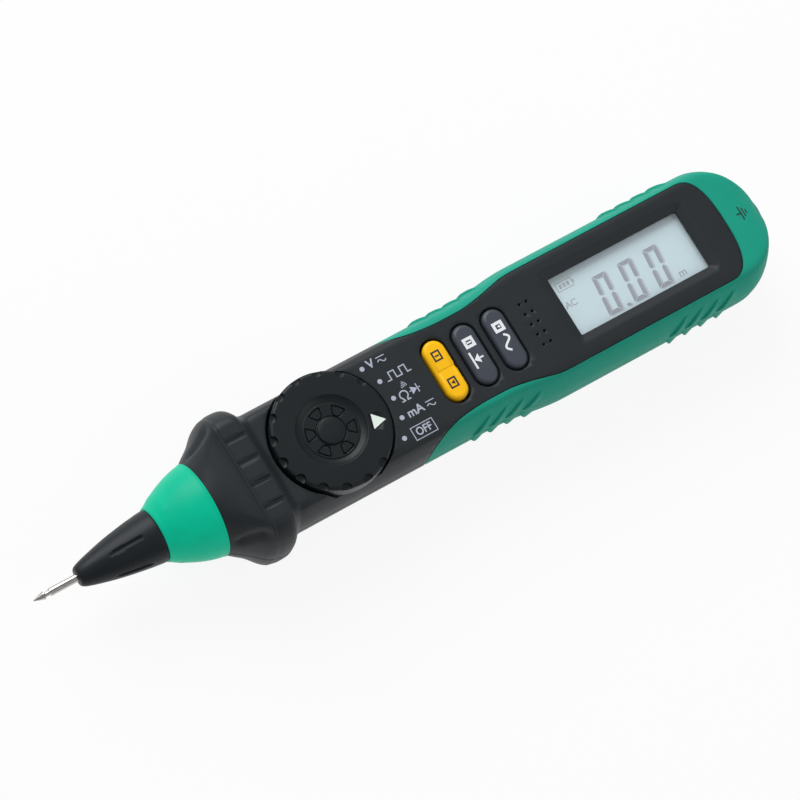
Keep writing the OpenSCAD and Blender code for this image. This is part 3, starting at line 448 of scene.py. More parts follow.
# Where the guard's section starts to turn into the body's, over what length, and where the body is plain
GUARD_BACK, GUARD_FADE, BODY_START = 60.6, 6.2, 68
# Share of the height that is left where the width of the round end comes to nothing
END_HEIGHT = 0.42
# The fold beside the guard's middle panel: its depth, its half width and where it starts and ends
FOLD_DEPTH, FOLD_HALF, FOLD_START, FOLD_END = 1.05, 0.11, 47.1, 53.9

# Section of the body and of the guard: a running share, then shares of the half width and the height
BODY_SHARES = [
    (0, 1, 0), (0.14, 0.995, 0.2), (0.28, 0.972, 0.42), (0.42, 0.93, 0.64), (0.53, 0.882, 0.82),
    (0.62, 0.835, 0.935), (0.7, 0.77, 0.99), (0.76, 0.7, 1), (0.86, 0.45, 1), (1, 0, 1),
]
GUARD_SHARES = [
    (0, 1, 0), (0.12, 0.998, 0.18), (0.26, 0.975, 0.42), (0.4, 0.92, 0.66), (0.52, 0.84, 0.84),
    (0.62, 0.765, 0.945), (0.7, 0.71, 0.985), (0.76, 0.66, 1), (0.86, 0.42, 1), (1, 0, 1),
]
# Place along the guard, then its half width, the share of its growth in height, its squareness
GUARD_STATIONS = [
    (47, 12.1, 0, 0), (48, 12.95, 0.1, 0.12), (51.1, 15.2, 0.42, 0.42), (54.1, 17.9, 0.8, 0.8),
    (55.2, 18.45, 0.98, 0.95), (55.5, 18.58, 1, 0.97), (56.4, 18.75, 1, 1), (57.8, 19, 1, 1),
    (60.6, 19, 1, 1),
]
# A low lip stands along the ridge's front edge: its sharp foot, its top and the drop on either side
LIP_FOOT, LIP_TOP, LIP_X, LIP_DROP = 55.15, 55.45, 55.85, 0.35
# Place behind the ridge, then the share of the guard that is left, in width and in height
WIDTH_DIP = [
    (58.6, 1), (59.6, 0.985), (60.5, 0.93), (61.3, 0.8), (62.2, 0.54), (63.1, 0.27), (64.2, 0.07), (65.6, 0),
]
HEIGHT_DIP = [
    (60.6, 1), (61.6, 0.95), (62.4, 0.72), (63.2, 0.36), (64.0, 0.08), (64.8, -0.05), (65.8, -0.03),
    (67.2, 0),
]
print("guard half width", round(guard_half, 2), "base", round(base, 2), "end", round(end_x, 2))

# %% [markdown]
# The width, the height and the section at any place come from those tables. The front of the guard folds in
# beside its middle panel, and the round end narrows to a point on the axis. Both could be cut afterwards,
# but a term in the section keeps the surface in one piece and soft.

# %% Widths, heights and sections along the meter


def column(table, k):
    return [(row[0], row[k]) for row in table]


def body_half(x):
    return waist_half + (display_half - waist_half) * soft_step((x - flare_x) / flare_l)


def body_height(x, back):
    if not back:
        return face
    return waist_depth + (base - waist_depth) * soft_step((x - flare_x + back_lead) / flare_l)


# Place in the rounded end, from 0 to 1, and the share of the width that is left there
END_SHARES = [
    (0, 1), (0.1, 0.999), (0.2, 0.991), (0.3, 0.97), (0.4, 0.935), (0.5, 0.885), (0.6, 0.82), (0.7, 0.733),
    (0.8, 0.615), (0.87, 0.505), (0.93, 0.38), (0.97, 0.257), (0.99, 0.155), (1, 0.03),
]


def end_share(x, inset=0.0):
    """How much of the width is left in the rounded end."""
    return smooth_through(END_SHARES, (x - round_x) / (end_x - inset - round_x))


def half_width(x, inset=0.0):
    if x < WIDTH_DIP[0][0]:
        return smooth_through(column(GUARD_STATIONS, 1), x) - inset
    wide = body_half(x) + smooth_through(WIDTH_DIP, x) * (guard_half - body_half(x))
    return (wide - inset) * end_share(x, inset)


def half_height(x, back, inset=0.0):
    if x < GUARD_STATIONS[-1][0]:
        high = collar_r + (base - collar_r) * smooth_through(column(GUARD_STATIONS, 2), x)
        beside = soft_step((x - LIP_X) / 0.35)
        if x < LIP_TOP:
            beside = soft_step((x - 51) / 4) * (1 - soft_step((x - LIP_FOOT) / (LIP_TOP - LIP_FOOT)))
        return high - inset - (0 if back else LIP_DROP * beside)
    low = body_height(x, back)
    left = smooth_through(HEIGHT_DIP, x)
    drop = 0 if back else LIP_DROP * left
    share = END_HEIGHT + (1 - END_HEIGHT) * end_share(x, inset)
    return (low + left * (base - low) - drop - inset) * share


def crease(x, t):
    """How far the front of the guard is folded in beside its middle panel."""
    lengthwise = soft_step((x - FOLD_START) / 3.0) * (1 - soft_step((x - FOLD_END) / 1.6))
    middle_of_fold = 0.3 + 0.24 * soft_step((x - 47) / 8.4)
    around = max(0, 1 - abs(t - middle_of_fold) / FOLD_HALF)
    return FOLD_DEPTH * lengthwise * around**1.4


def section(x, back, inset=0.0):
    """Half of a cross-section, as (y, z) points from the parting line up to the middle."""
    w, h = half_width(x, inset), half_height(x, back, inset)
    square = smooth_through(column(GUARD_STATIONS, 3), x)
    guard = 1 - soft_step((x - GUARD_BACK) / GUARD_FADE)
    points = []
    for i in range(SIDE_POINTS + 1):
        t = i / SIDE_POINTS
        flat = [
            guard * smooth_through(column(GUARD_SHARES, k), t)
            + (1 - guard) * smooth_through(column(BODY_SHARES, k), t)
            for k in (1, 2)
        ]
        a = t * math.pi / 2
        y = w * ((1 - square) * math.cos(a) + square * flat[0])
        z = h * ((1 - square) * math.sin(a) + square * flat[1])
        keep = 1 - crease(x, t) / max(math.hypot(y, z), 1)
        points.append((max(y * keep, 0), z * keep))
    return points


print("widest", round(2 * max(half_width(47 + i / 10) for i in range(200)), 2), "mm")

# %% [markdown]
# The tools are few: a loft for free forms, boxes and rods for plain cutters, and booleans to put them
# together. Every solid is closed, so the booleans stay clean.

# %% A loft, a cut and a plain tool


def nothing_selected():
    if bpy.context.object and bpy.context.object.mode == "EDIT":
        bpy.ops.object.mode_set(mode="OBJECT")
    bpy.ops.object.select_all(action="DESELECT")


def pick(obj):
    nothing_selected()
    obj.select_set(True)
    bpy.context.view_layer.objects.active = obj


def circle(r, sides):
    turns = [2 * math.pi * k / sides for k in range(sides)]
    return [(r * math.cos(a), r * math.sin(a)) for a in turns]


def arc(cx, cy, r, first, last, steps):
    """Points of an arc, from one angle to another in degrees."""
    turns = [math.radians(first + (last - first) * k / steps) for k in range(steps + 1)]
    return [(cx + r * math.cos(a), cy + r * math.sin(a)) for a in turns]


def loft(name, rings):
    """A closed solid: a disc is extruded from ring to ring, and its points are put in place."""
    nothing_selected()
    bpy.ops.mesh.primitive_circle_add(vertices=len(rings[0]), radius=MM, fill_type="NGON")
    obj = bpy.context.object
    obj.name = name
    bpy.ops.object.mode_set(mode="EDIT")
    mesh = bmesh.from_edit_mesh(obj.data)
    numbers = {v.co.copy().freeze(): i for i, v in enumerate(mesh.verts)}
    for ring in rings:
        if ring is not rings[0]:
            bpy.ops.mesh.extrude_region_move()
        mesh = bmesh.from_edit_mesh(obj.data)
        placed = {}
        for v in [v for v in mesh.verts if v.select]:
            i = numbers[v.co.copy().freeze()]
            v.co = ring[i]
            placed[v.co.copy().freeze()] = i
        numbers = placed
    bpy.ops.mesh.select_all(action="SELECT")
    bpy.ops.mesh.normals_make_consistent(inside=False)
    bpy.ops.object.mode_set(mode="OBJECT")
    return obj


def stack(name, layers):
    """A loft of level outlines, from (outline, height) pairs."""
    return loft(name, [[pen(x, y, z) for x, y in outline] for outline, z in layers])


def mirrored(half):
    """A half outline that ends on the middle line, and its mirror image."""
    return half + [(x, -y) for x, y in reversed(half[:-1])]


def plate(outline, low, high, name="plate"):
    """A flat solid with any outline."""
    return stack(name, [(outline, low), (outline, high)])


def together(name, pieces):
    """Joins separate solids into one object."""
    pick(pieces[0])
    for piece in pieces:
        piece.select_set(True)
    bpy.ops.object.join()
    bpy.context.object.name = name
    return bpy.context.object


def combine(obj, tool, operation):
    """A boolean with one tool, or with a row of separate ones that are joined first."""
    if isinstance(tool, list):
        tool = together("tools", tool)
    pick(obj)
    modifier = obj.modifiers.new("combine", "BOOLEAN")
    modifier.solver = "MANIFOLD"
    modifier.operation = operation
    modifier.object = tool
    before = len(obj.data.polygons)
    bpy.ops.object.modifier_apply(modifier=modifier.name)
    print(obj.name, operation.lower(), tool.name, before, "->", len(obj.data.polygons), "faces")
    bpy.data.objects.remove(tool)
    return obj


def cut(obj, tool):
    return combine(obj, tool, "DIFFERENCE")


def join_solid(obj, tool):
    return combine(obj, tool, "UNION")


def overlap(obj, tool):
    return combine(obj, tool, "INTERSECT")


def block(low, high):
    """A box between two pen places."""
    low, high = pen(*low), pen(*high)
    nothing_selected()
    bpy.ops.mesh.primitive_cube_add(size=1, location=(low + high) / 2, scale=high - low)
    bpy.ops.object.transform_apply()
    bpy.context.object.name = "block"
    return bpy.context.object


def rod(name, x0, x1, r):
    """A cylinder along the probe's axis."""
    nothing_selected()
    bpy.ops.mesh.primitive_cylinder_add(
        vertices=96, radius=r * MM, depth=(x1 - x0) * MM, location=pen((x0 + x1) / 2),
        rotation=(0, math.pi / 2, 0),
    )
    bpy.ops.object.transform_apply()
    bpy.context.object.name = name
    return bpy.context.object


def finished(obj, node, body="meter", corner=30, flat_top=False):
    """Gives a finished piece its finish, shading, slot and body, and lets it stand for its node."""
    pick(obj)
    bpy.ops.object.shade_smooth_by_angle(angle=math.radians(corner))
    if flat_top:
        # Large flat faces keep their own normal, so they don't look dented beside a rounded edge
        even = obj.modifiers.new("even", "WEIGHTED_NORMAL")
        even.keep_sharp = True
        bpy.ops.object.modifier_apply(modifier=even.name)
    slot = [p["material_slot"] for p in frame["record"]["subparts"] if p["node"] == node][0]
    obj.data.materials.clear()
    obj.data.materials.append(FINISHES[slot])
    obj.name = node + "_skin"
    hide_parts(node)
    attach(obj, body)
    print(obj.name, len(obj.data.polygons), "faces")


# %% [markdown]
# Each half is the same loft at three depths: the outside, the black core that lies under the soft green
# grip, and the hollow. The hollow with its bosses, pockets and walls is taken from the CAD model: what the
# CAD part leaves empty inside a slightly smaller skin is cut out of the new one.

# %% Solids of a housing half
GRIP_T, SEAM = 1.5, 0.05
# The sections stand closer together where the guard's lip is
LIP_ZONE = (54.8, 56.5)
# The envelope lies this far inside the skin, and reaches this far past the parting line
ENVELOPE = (0.9, 1.0)


def half_ring(x, back, inset, below):
    """A closed ring of a half housing: over the top, and straight along the parting line."""
    side = -1 if back else 1
    half = section(x, back, inset)
    half = [(half[0][0], -below)] + half if below else half
    ring = [pen(x, y, side * z) for y, z in half]
    return ring + [pen(x, -y, side * z) for y, z in reversed(half[:-1])]


def stations(low, high, step):
    count = max(1, round((high - low) / step))
    return [low + (high - low) * i / count for i in range(count + 1)]


def half_solid(name, back, low, inset=0.0, below=0.0):
    places = [low]
    if low < LIP_ZONE[0]:
        places = stations(low, LIP_ZONE[0], 0.4) + stations(*LIP_ZONE, 0.1)[1:]
    places += stations(places[-1], BODY_START, 0.35)[1:] + stations(BODY_START, round_x, 1.6)[1:]
    last = end_x - inset - 0.02
    places += [round_x + (last - round_x) * math.sin(math.pi / 2 * i / 28) for i in range(1, 29)]
    return loft(name, [half_ring(x, back, inset, below) for x in places])


print("stations", len(stations(BODY_START, round_x, 1.6)), "along the body")

# %% [markdown]
# The black panel runs from the guard to the display, with a waist between them and a round far end. The
# same outline parts the black from the green, so one prism, grown or shrunk by the seam, cuts both.

# %% The outline of the black panel


def panel_side():
    """One side of the black panel's outline, which parts it from the green."""
    shares = [
        (0, 1.3), (0.01, 1.16), (0.053, 1), (0.088, 0.911), (0.133, 0.843), (0.205, 0.804),
        (0.262, 0.807), (0.318, 0.857), (0.374, 0.943), (0.41, 0.99), (0.45, 1), (0.93, 1),
    ]
    xs, ys = list(enumerate(s[0] for s in shares)), list(enumerate(s[1] for s in shares))
    places = [i / 8 for i in range((len(shares) - 1) * 8 + 1)]
    length = panel_end - panel_x
    side = [(panel_x + smooth_through(xs, t) * length, smooth_through(ys, t) * panel_half) for t in places]
    x, reach = side[-1][0], panel_end - side[-1][0]
    for k in range(1, 29):
        a = math.pi / 2 * k / 28
        side.append((x + reach * math.sin(a) ** 0.77, panel_half * max(math.cos(a), 0) ** 0.77))
    return side


def panel_prism(grow):
    side = panel_side()
    grown = []
    for i, (x, y) in enumerate(side):
        ahead, behind = side[min(i + 1, len(side) - 1)], side[max(i - 1, 0)]
        run = Vector((ahead[0] - behind[0], ahead[1] - behind[1])).normalized()
        grown.append((x - run.y * grow, y + run.x * grow))
    grown[-1] = (side[-1][0] + grow, 0)
    far = 2 * guard_half
    half = [(collar_x - 5, far), (panel_x + grow, far)] + grown
    return plate(mirrored(half), -2 * base, 2 * base, "panel_prism")


print("panel outline", len(panel_side()), "points on each side")

# %% [markdown]
# Moulded pieces meet in a thin shadow line. Here a thin tube runs along each meeting line on the surface and
# is cut out, so the line is a real groove and not a drawn one.

# %% Seams


def tube(name, path, r, sides=10):
    """A closed tube along a row of pen places, with one radius or a radius for each place."""
    normal, rings = Vector((0, 0, 1)), []
    for i, spot in enumerate(path):
        run = (path[min(i + 1, len(path) - 1)] - path[max(i - 1, 0)]).normalized()
        normal = (normal - normal.dot(run) * run).normalized()
        other = run.cross(normal)
        size = r[i] if isinstance(r, list) else r
        rings.append([pen(*(spot + size * (u * normal + v * other))) for u, v in circle(1, sides)])
    return loft(name, rings)


def surface_z(x, y, back):
    """The height of the outside over a place on its plan."""
    points = section(x, back)
    for (y0, z0), (y1, z1) in zip(points, points[1:]):
        if y1 <= abs(y) <= y0:
            return z0 + (z1 - z0) * (y0 - abs(y)) / max(y0 - y1, 1e-6)
    return 0


def panel_seam(back):
    side = -1 if back else 1
    half = [(x, y) for x, y in panel_side() if y < half_width(x) - 0.02]
    x, y = half[0]
    whole = mirrored([(x - 0.3, half_width(x) + 0.3)] + half)
    return tube("panel_seam", [Vector((x, y, side * surface_z(x, y, back))) for x, y in whole], 0.17)


def parting_seam(y_side):
    places = stations(collar_x + 0.2, BODY_START, 0.5) + stations(BODY_START, round_x, 2.5)[1:]
    places += [round_x + (end_x - 0.03 - round_x) * math.sin(math.pi / 2 * i / 20) for i in range(1, 21)]
    return tube("parting_seam", [Vector((x, y_side * half_width(x), 0)) for x in places], 0.15)


print("height of the face over the keys", round(surface_z(120, 0, False), 2))

# %% [markdown]
# A half is made of its skin, cut by the panel's prism, and of the core under the green grip. Then the same
# form, a little smaller, gives the envelope for what the CAD part leaves empty.

# %% The two halves


def merged(obj, distance):
    """Merges points that lie on one another, and says how many are still on an open edge."""
    pick(obj)
    bpy.ops.object.mode_set(mode="EDIT")
    bpy.ops.mesh.select_all(action="SELECT")
    bpy.ops.mesh.remove_doubles(threshold=distance)
    bpy.ops.mesh.select_all(action="DESELECT")
    bpy.ops.mesh.select_non_manifold()
    print(obj.name, "open points:", sum(v.select for v in bmesh.from_edit_mesh(obj.data).verts))
    bpy.ops.object.mode_set(mode="OBJECT")
    return obj


def cad_copy(node):
    """A copy of a CAD node's mesh, closed again where the file had split its points."""
    copy = bpy.data.objects.new(node + "_copy", frame["nodes"][node].data.copy())
    bpy.context.scene.collection.objects.link(copy)
    return merged(copy, 1e-6)


def hollowed(skin, envelope, node):
    """Cuts out of the skin what the CAD node leaves empty inside the envelope."""
    return cut(skin, cut(envelope, cad_copy(node)))


def black_half(back, deeper=0.0, below=0.0):
    shown = half_solid("outside", back, collar_x - 2 * deeper, deeper, below)
    shown = overlap(shown, panel_prism(-SEAM - deeper))
    return join_solid(shown, half_solid("core", back, body_x + deeper, GRIP_T + deeper, below))


front = hollowed(black_half(False), black_half(False, *ENVELOPE), "front_housing")
rear = hollowed(black_half(True), black_half(True, *ENVELOPE), "rear_housing")

# %% [markdown]
# Moulded openings have a soft mouth, so their cutters flare at the surface: turned ones for the knob's
# recess and the sound holes, flat-sided ones with round ends for the keys, and a wide bevel around the
# display. The screws get plain turned wells.

# %% Cutters with a soft mouth


def turned(name, x, y, profile, sides=144):
    """A solid of revolution about an upright line, from (radius, height) points."""
    return loft(name, [[pen(x + u, y + v, z) for u, v in circle(r, sides)] for r, z in profile])


def turned_along(name, profile, sides=144):
    """A solid of revolution about the probe's axis, from (place, radius) points."""
    return loft(name, [[pen(x, u, v) for u, v in circle(r, sides)] for x, r in profile])


def capsule(name, x, layers):
    """A flat-sided solid with round ends along Y, from (length, width, height) layers."""
    rings = []
    for length, width, z in layers:
        r, reach = width / 2, (length - width) / 2
        rings.append((arc(x, reach, r, 0, 180, 16) + arc(x, -reach, r, 180, 360, 16), z))
    return stack(name, rings)


def rounded_box(name, x0, x1, half_y, layers):
    """A box with rounded upright edges, from (growth, corner radius, height) layers."""
    rings = []
    for grow, r, z in layers:
        near, far, side = x0 - grow + r, x1 + grow - r, half_y + grow - r
        outline = []
        for k, (cx, cy) in enumerate(((far, side), (near, side), (near, -side), (far, -side))):
            outline += arc(cx, cy, r, 90 * k, 90 * k + 90, 6)
        rings.append((outline, z))
    return stack(name, rings)


def seams(back):
    """The thin lines where the moulded pieces meet."""
    return [panel_seam(back), parting_seam(1), parting_seam(-1)]


def screw_mouths(x, y):
    profile = [(2.6, -base - 1), (2.6, -base + 5.6)]
    return [turned("screw_mouth", x, side * y, profile, 48) for side in (-1, 1)]


def jack_mouth():
    return turned_along("jack_mouth", [(end_x - 8, jack_hole_r), (end_x + 3, jack_hole_r)])


print("cutters ready")

# %% [markdown]
# The openings take their places from the pieces that show in them: the keys, the buzzer, the window and the
# socket. Their sizes are those of the pieces and a gap.

# %% Sizes of the openings, in millimetres
KEY_L, KEY_W, KEY_GAP, ROCKER_GAP = 16.3, 5.8, 0.25, 0.4
# The cutters for the face start inside the hollow and end above the keys
CUT_FOOT, CUT_TOP = 8.6, 12.2
rocker_x, max_x, func_x = middle_x("rocker_key"), middle_x("max_key"), middle_x("func_key")
window_x, window_end, window_half = 148.6, 186.9, 8.1
buzzer_x = middle_x("buzzer")
recess_r, recess_floor = 15.6, 7.5
JACK_GAP = 0.05
jack_hole_r = span("jack_body")[1].y + JACK_GAP
GUARD_SCREW, END_SCREW = (59.3, 14.2), (197.4, 11.2)
print("keys at", [round(v, 2) for v in (rocker_x, max_x, func_x)], "buzzer at", round(buzzer_x, 2))

# %% [markdown]
# The front housing has the knob's recess, three key slots, the window, ten sound holes, four grooves across
# the guard and half of the socket's hole. All the cutters are joined first, so one boolean does the work.

# %% Openings of the front housing
mouths = [turned("recess", knob_x, 0, [
    (recess_r, recess_floor), (recess_r, face - 0.35), (recess_r + 0.1, face - 0.1),
    (recess_r + 0.35, face + 0.02), (recess_r + 0.5, face + 3),
])]
for x, gap in ((rocker_x, ROCKER_GAP), (max_x, KEY_GAP), (func_x, KEY_GAP)):
    long, wide = KEY_L + 2 * gap + 0.3, KEY_W + 2 * KEY_GAP + 0.3
    mouths.append(capsule("key_mouth", x, [
        (long, wide, CUT_FOOT), (long, wide, face - 1.3), (long + 0.35, wide + 0.35, face - 1.1),
        (long + 0.35, wide + 0.35, face - 0.15), (long + 0.65, wide + 0.65, face + 0.01),
        (long + 0.85, wide + 0.85, face + 1),
    ]))
mouths.append(rounded_box("window_mouth", window_x, window_end, window_half, [
    (0, 0.35, CUT_FOOT), (0, 0.35, face - 0.82), (0.12, 0.45, face - 0.74), (1.75, 1.5, face - 0.14),
    (2.1, 1.9, face + 0.01), (2.3, 2.2, face + 0.6),
]))
for row in range(5):
    for side in (-1, 1):
        mouths.append(turned("sound_hole", buzzer_x + side, (row - 2) * 2.87, [
            (0.3, CUT_FOOT), (0.3, face - 0.2), (0.36, face - 0.1), (0.5, face + 0.01), (0.6, face + 0.5),
        ], 24))
for i in range(4):
    y, high = (i - 1.5) * 6.03, base + 0.5
    mouths.append(loft("guard_groove", [
        [pen(x, y - 1.05, high), pen(x, y + 1.05, high), pen(x, y + 0.4, low), pen(x, y - 0.4, low)]
        for x, low in ((55.85, base - 0.3), (56.5, base - 0.85), (62.6, base - 0.85))
    ]))
mouths.append(jack_mouth())
cut(front, mouths)
cut(front, seams(False))
finished(front, "front_housing")

# %% [markdown]
# The rear housing has the battery cover's seat with a small bevel, four screw wells and the other half of
# the socket's hole. The photo doesn't show it, so it stays plain.

# %% Openings of the rear housing
cover_low, cover_high = span("battery_cover")
mouths = [jack_mouth()]
mouths.append(rounded_box(
    "cover_mouth", cover_low.x - 0.2, cover_high.x + 0.2, cover_high.y + 0.2,
    [(0.3, 0.3, -base - 1), (0.3, 0.3, -base), (0, 0.05, -base + 0.3), (0, 0.05, -base + 2.0)],
))
mouths += screw_mouths(*GUARD_SCREW) + screw_mouths(*END_SCREW)
cut(rear, mouths)
cut(rear, seams(True))
finished(rear, "rear_housing")

# %% [markdown]
# The green grip is a soft second shot over the black core. It is the outside minus the panel and minus the
# core, so the two fit with one thin seam. Ribs like scales stand on its sides in two groups of four.

# %% The green grips
# Section of a rib: place along the meter, then height, from its steep front to its long back
RIB = [
    (-0.8, -0.9), (-0.8, 0.05), (-0.62, 0.55), (-0.35, 0.72), (0, 0.68), (1.2, 0.32), (2.6, -0.12),
    (2.6, -0.9),
]
RIB_LEAN, RIB_STEP, RIB_GROUPS = 4.3, 4.75, (114.4, 171.5)


def rib(x, side, back):
    """A rib that leans back as it climbs the side: steep in front, like a scale, and thin at both ends."""
    up = -1 if back else 1
    low, high = 1.1, 0.72 * half_height(x, back)
    rings = []
    for i in range(17):
        t = i / 16
        z = low + t * (high - low)
        size = 0.06 + 0.94 * max(math.sin(math.pi * t), 0) ** 0.6
        ring = []
        for along_x, height in RIB:
            here = x + RIB_LEAN * t + along_x * (0.4 + 0.6 * size)
            y = min(abs(p[0]) for p in section(here, back) if p[1] <= z + 0.4)
            ring.append(pen(here, side * (y + (height * size if height > 0 else height)), up * z))
        rings.append(ring)
    return loft("rib", rings)


def green_half(back):
    grip = half_solid("grip", back, body_x - 4)
    cut(grip, panel_prism(SEAM))
    cut(grip, half_solid("core", back, body_x - 6, GRIP_T, 1.0))
    places = [x0 + RIB_STEP * i for x0 in RIB_GROUPS for i in range(4)]
    join_solid(grip, [rib(x, side, back) for x in places for side in (-1, 1)])
    mouths = [jack_mouth()] + (screw_mouths(*END_SCREW) if back else [])
    cut(grip, mouths)
    return cut(grip, seams(back))


finished(green_half(False), "front_grip", corner=40)
finished(green_half(True), "rear_grip", corner=40)

# %% [markdown]
# The dial knob was turned in its mould: a flat rim that falls into a shallow dish, with a button in the
# middle. One profile, spun, gives all of that. Round hollows for the fingertips are cut into the rim, and
# six shallow pads with a round end stand around the button.

# %% The dial knob
KNOB_R, TOP = 15.0, knob_high.z
LOW = TOP - 0.8
SETTING = 16.7
turn = math.radians(-SETTING)


def dial(r, degrees):
    """A pen place on the knob, at an angle from its pointer."""
    a = turn + math.radians(degrees)
    return knob_x + r * math.cos(a), r * math.sin(a)


knob = turned("knob", knob_x, 0, [
    (KNOB_R - 0.4, knob_high.z - 4.7), (KNOB_R, knob_high.z - 4.3),
    *arc(KNOB_R - 0.9, TOP - 0.9, 0.9, 0, 90, 6), (13.9, TOP), (13.3, TOP), (12.9, TOP), (9.4, TOP),
    (9.15, TOP), *arc(9.0, TOP - 0.3, 0.3, 90, 140, 4), (8.1, TOP - 0.72), (7.3, TOP - 0.94),
    (7.15, LOW - 0.2), (7.0, LOW - 0.18), (6.92, LOW - 0.03), (6.85, LOW), (6.75, LOW), (4.0, LOW),
    (3.9, LOW), (3.75, LOW - 0.06), (3.62, LOW - 0.2), (3.5, LOW - 0.16), (3.45, LOW + 0.18),
    (3.3, LOW + 0.38), (3.0, LOW + 0.47), (1.8, LOW + 0.5), (0.2, LOW + 0.5),
], 192)
hollows = []
HOLLOW_STEP = 22.5
for k in range(2, 15):  # the pointer's side stays plain
    x, y = dial(KNOB_R - 0.3, HOLLOW_STEP * k)
    hollows.append(turned("hollow", x, y, [
        (0.2, TOP - 1.0), (0.8, TOP - 0.96), (1.1, TOP - 0.84), (1.25, TOP - 0.6), (1.3, TOP - 0.15),
        (1.38, TOP + 0.02), (1.5, TOP + 0.4),
    ], 40))
cut(knob, hollows)
PAD_R = 5.1


def petal(turned_by, grow, low, high):
    """One D-shaped pad: a straight back at the dish's edge, and a round end towards the button."""
    half = [
        (6.25 + grow, 0), (6.2 + grow, 0.8), (6.1 + grow, 1.5 + grow), (5.9, 1.6 + grow),
        (4.95, 1.12 + grow),
    ]
    for k in range(9):
        a = math.pi / 2 + math.pi / 2 * k / 8
        half.append((4.85 + (0.9 + grow) * math.cos(a), (1.05 + grow) * math.sin(a)))
    outline = half + [(x, -y) for x, y in reversed(half[1:-1])]
    rings = []
    for z, keep in ((low, 1), (high - 0.16, 1), (high, 0.88)):
        ring = []
        for x, y in outline:
            away, side = PAD_R + (x - PAD_R) * keep, y * keep
            angle = turned_by + math.degrees(math.atan2(side, away))
            ring.append(dial(math.hypot(away, side), angle))
        rings.append((ring, z))
    return stack("petal", rings)


cut(knob, [petal(60 * k, 0.22, LOW - 0.55, LOW + 0.5) for k in range(6)])
join_solid(knob, [petal(60 * k, 0.0, LOW - 0.7, LOW - 0.04) for k in range(6)])
seat = block((knob_x - 20, -20, -20), (knob_x + 20, 20, knob_high.z - 4.0))
stem = overlap(cad_copy("selector_knob"), seat)
join_solid(knob, stem)
rim = [dial(13.56, 0), dial(10.1, -11.2), dial(10.1, 11.2)]
cut(knob, plate(rim, TOP - 0.8, TOP + 0.5, "pointer_seat"))
finished(knob, "selector_knob", "dial", 22, True)

# %% [markdown]
# The keys are soft capsules with rounded edges that stand in their slots. The yellow one rocks: a shallow
# band marks its middle, and a small notch sits at its side.

# %% The keys
KEY_TOP, KEY_EDGE = face + 0.8, 1.05


def key(node, x, body):
    layers = [(KEY_L, KEY_W, 7.8), (KEY_L, KEY_W, KEY_TOP - 0.95)]
    for r, z in arc(0, KEY_TOP - KEY_EDGE, KEY_EDGE, 10, 90, 8):
        layers.append((KEY_L - 2 * (KEY_EDGE - r), KEY_W - 2 * (KEY_EDGE - r), z))
    layers += [(KEY_L - 2.3, KEY_W - 2.3, KEY_TOP), (KEY_L - 2.7, KEY_W - 2.7, KEY_TOP)]
    cap = capsule("key", x, layers)
    foot = overlap(cad_copy(node), block((x - 10, -20, -5), (x + 10, 20, CUT_FOOT)))
    join_solid(cap, foot)
    if node == "rocker_key":
        floor_z = KEY_TOP - 0.12
        sides = (-0.6, CUT_TOP), (0.6, CUT_TOP), (0.35, floor_z), (-0.35, floor_z)
        band = [pen(x, y, z) for y, z in sides]
        cut(cap, loft("band", [[p + Vector((dx * MM, 0, 0)) for p in band] for dx in (-4, 4)]))
        cut(cap, turned("notch", x + KEY_W / 2 + 0.6, 0, [(1.1, CUT_FOOT), (1.1, CUT_TOP)], 48))
    finished(cap, node, body, 28, True)


key("rocker_key", rocker_x, "rocker")
key("max_key", max_x, "max_button")
key("func_key", func_x, "func_button")

# %% [markdown]
# The nose cone is turned about the probe's axis: a slim cone with a rounded tip, moulded in a softer black.
# It carries five long hollows, cut by tubes that lie just above its skin. Its bore and its spigot come from
# the CAD model.

# %% The nose cone
NOSE_TIP = [(12.0, 1.75), (12.15, 2.15), (12.45, 2.48), (12.9, 2.75)]
NOSE = [
    (13.5, 3.0), (15.0, 3.47), (17.0, 4.0), (19.0, 4.5), (21.0, 4.95), (23.2, 5.38), (25.5, 5.78),
    (28.0, 6.18), (30.5, 6.52), (32.3, 6.73), (33.3, 6.8),
]
nose_low, nose_high = span("nose_cone")
# The hollows start here, are this long, and their tubes lie this far above the skin
HOLLOW_X, HOLLOW_L, HOLLOW_UP = 19.9, 9.8, 0.3


def smooth_profile(points, step):
    places = stations(points[0][0], points[-1][0], step)
    return [(x, smooth_through(points, x)) for x in places]


nose = turned_along("nose", NOSE_TIP + smooth_profile(NOSE, 0.8) + [(33.66, 6.74), (33.7, 6.6)])
hollows = []
for k in range(5):
    a = math.radians(72 * k)
    path, sizes = [], []
    for i in range(17):
        t = i / 16
        x = HOLLOW_X + HOLLOW_L * t
        r = smooth_through(NOSE, x) + HOLLOW_UP
        path.append(Vector((x, r * math.sin(a), r * math.cos(a))))
        sizes.append(max(0.78 * (1 - abs(2 * t - 1) ** 6), 0.1) ** 0.8)
    hollows.append(tube("hollow", path, sizes, 20))
cut(nose, hollows)
bore = cut(rod("bore_way", nose_low.x - 1, nose_high.x + 1, 2.45), cad_copy("nose_cone"))
cut(nose, bore)
spigot = overlap(cad_copy("nose_cone"), rod("spigot_way", nose_high.x - 8, nose_high.x + 1, 6.4))
join_solid(nose, spigot)
finished(nose, "nose_cone", corner=40)

# %% [markdown]
# The light ring is clear green plastic over the logic lights, with a thin lip at either end. It is turned
# too, and the flange that holds it inside the collar comes from the CAD model.

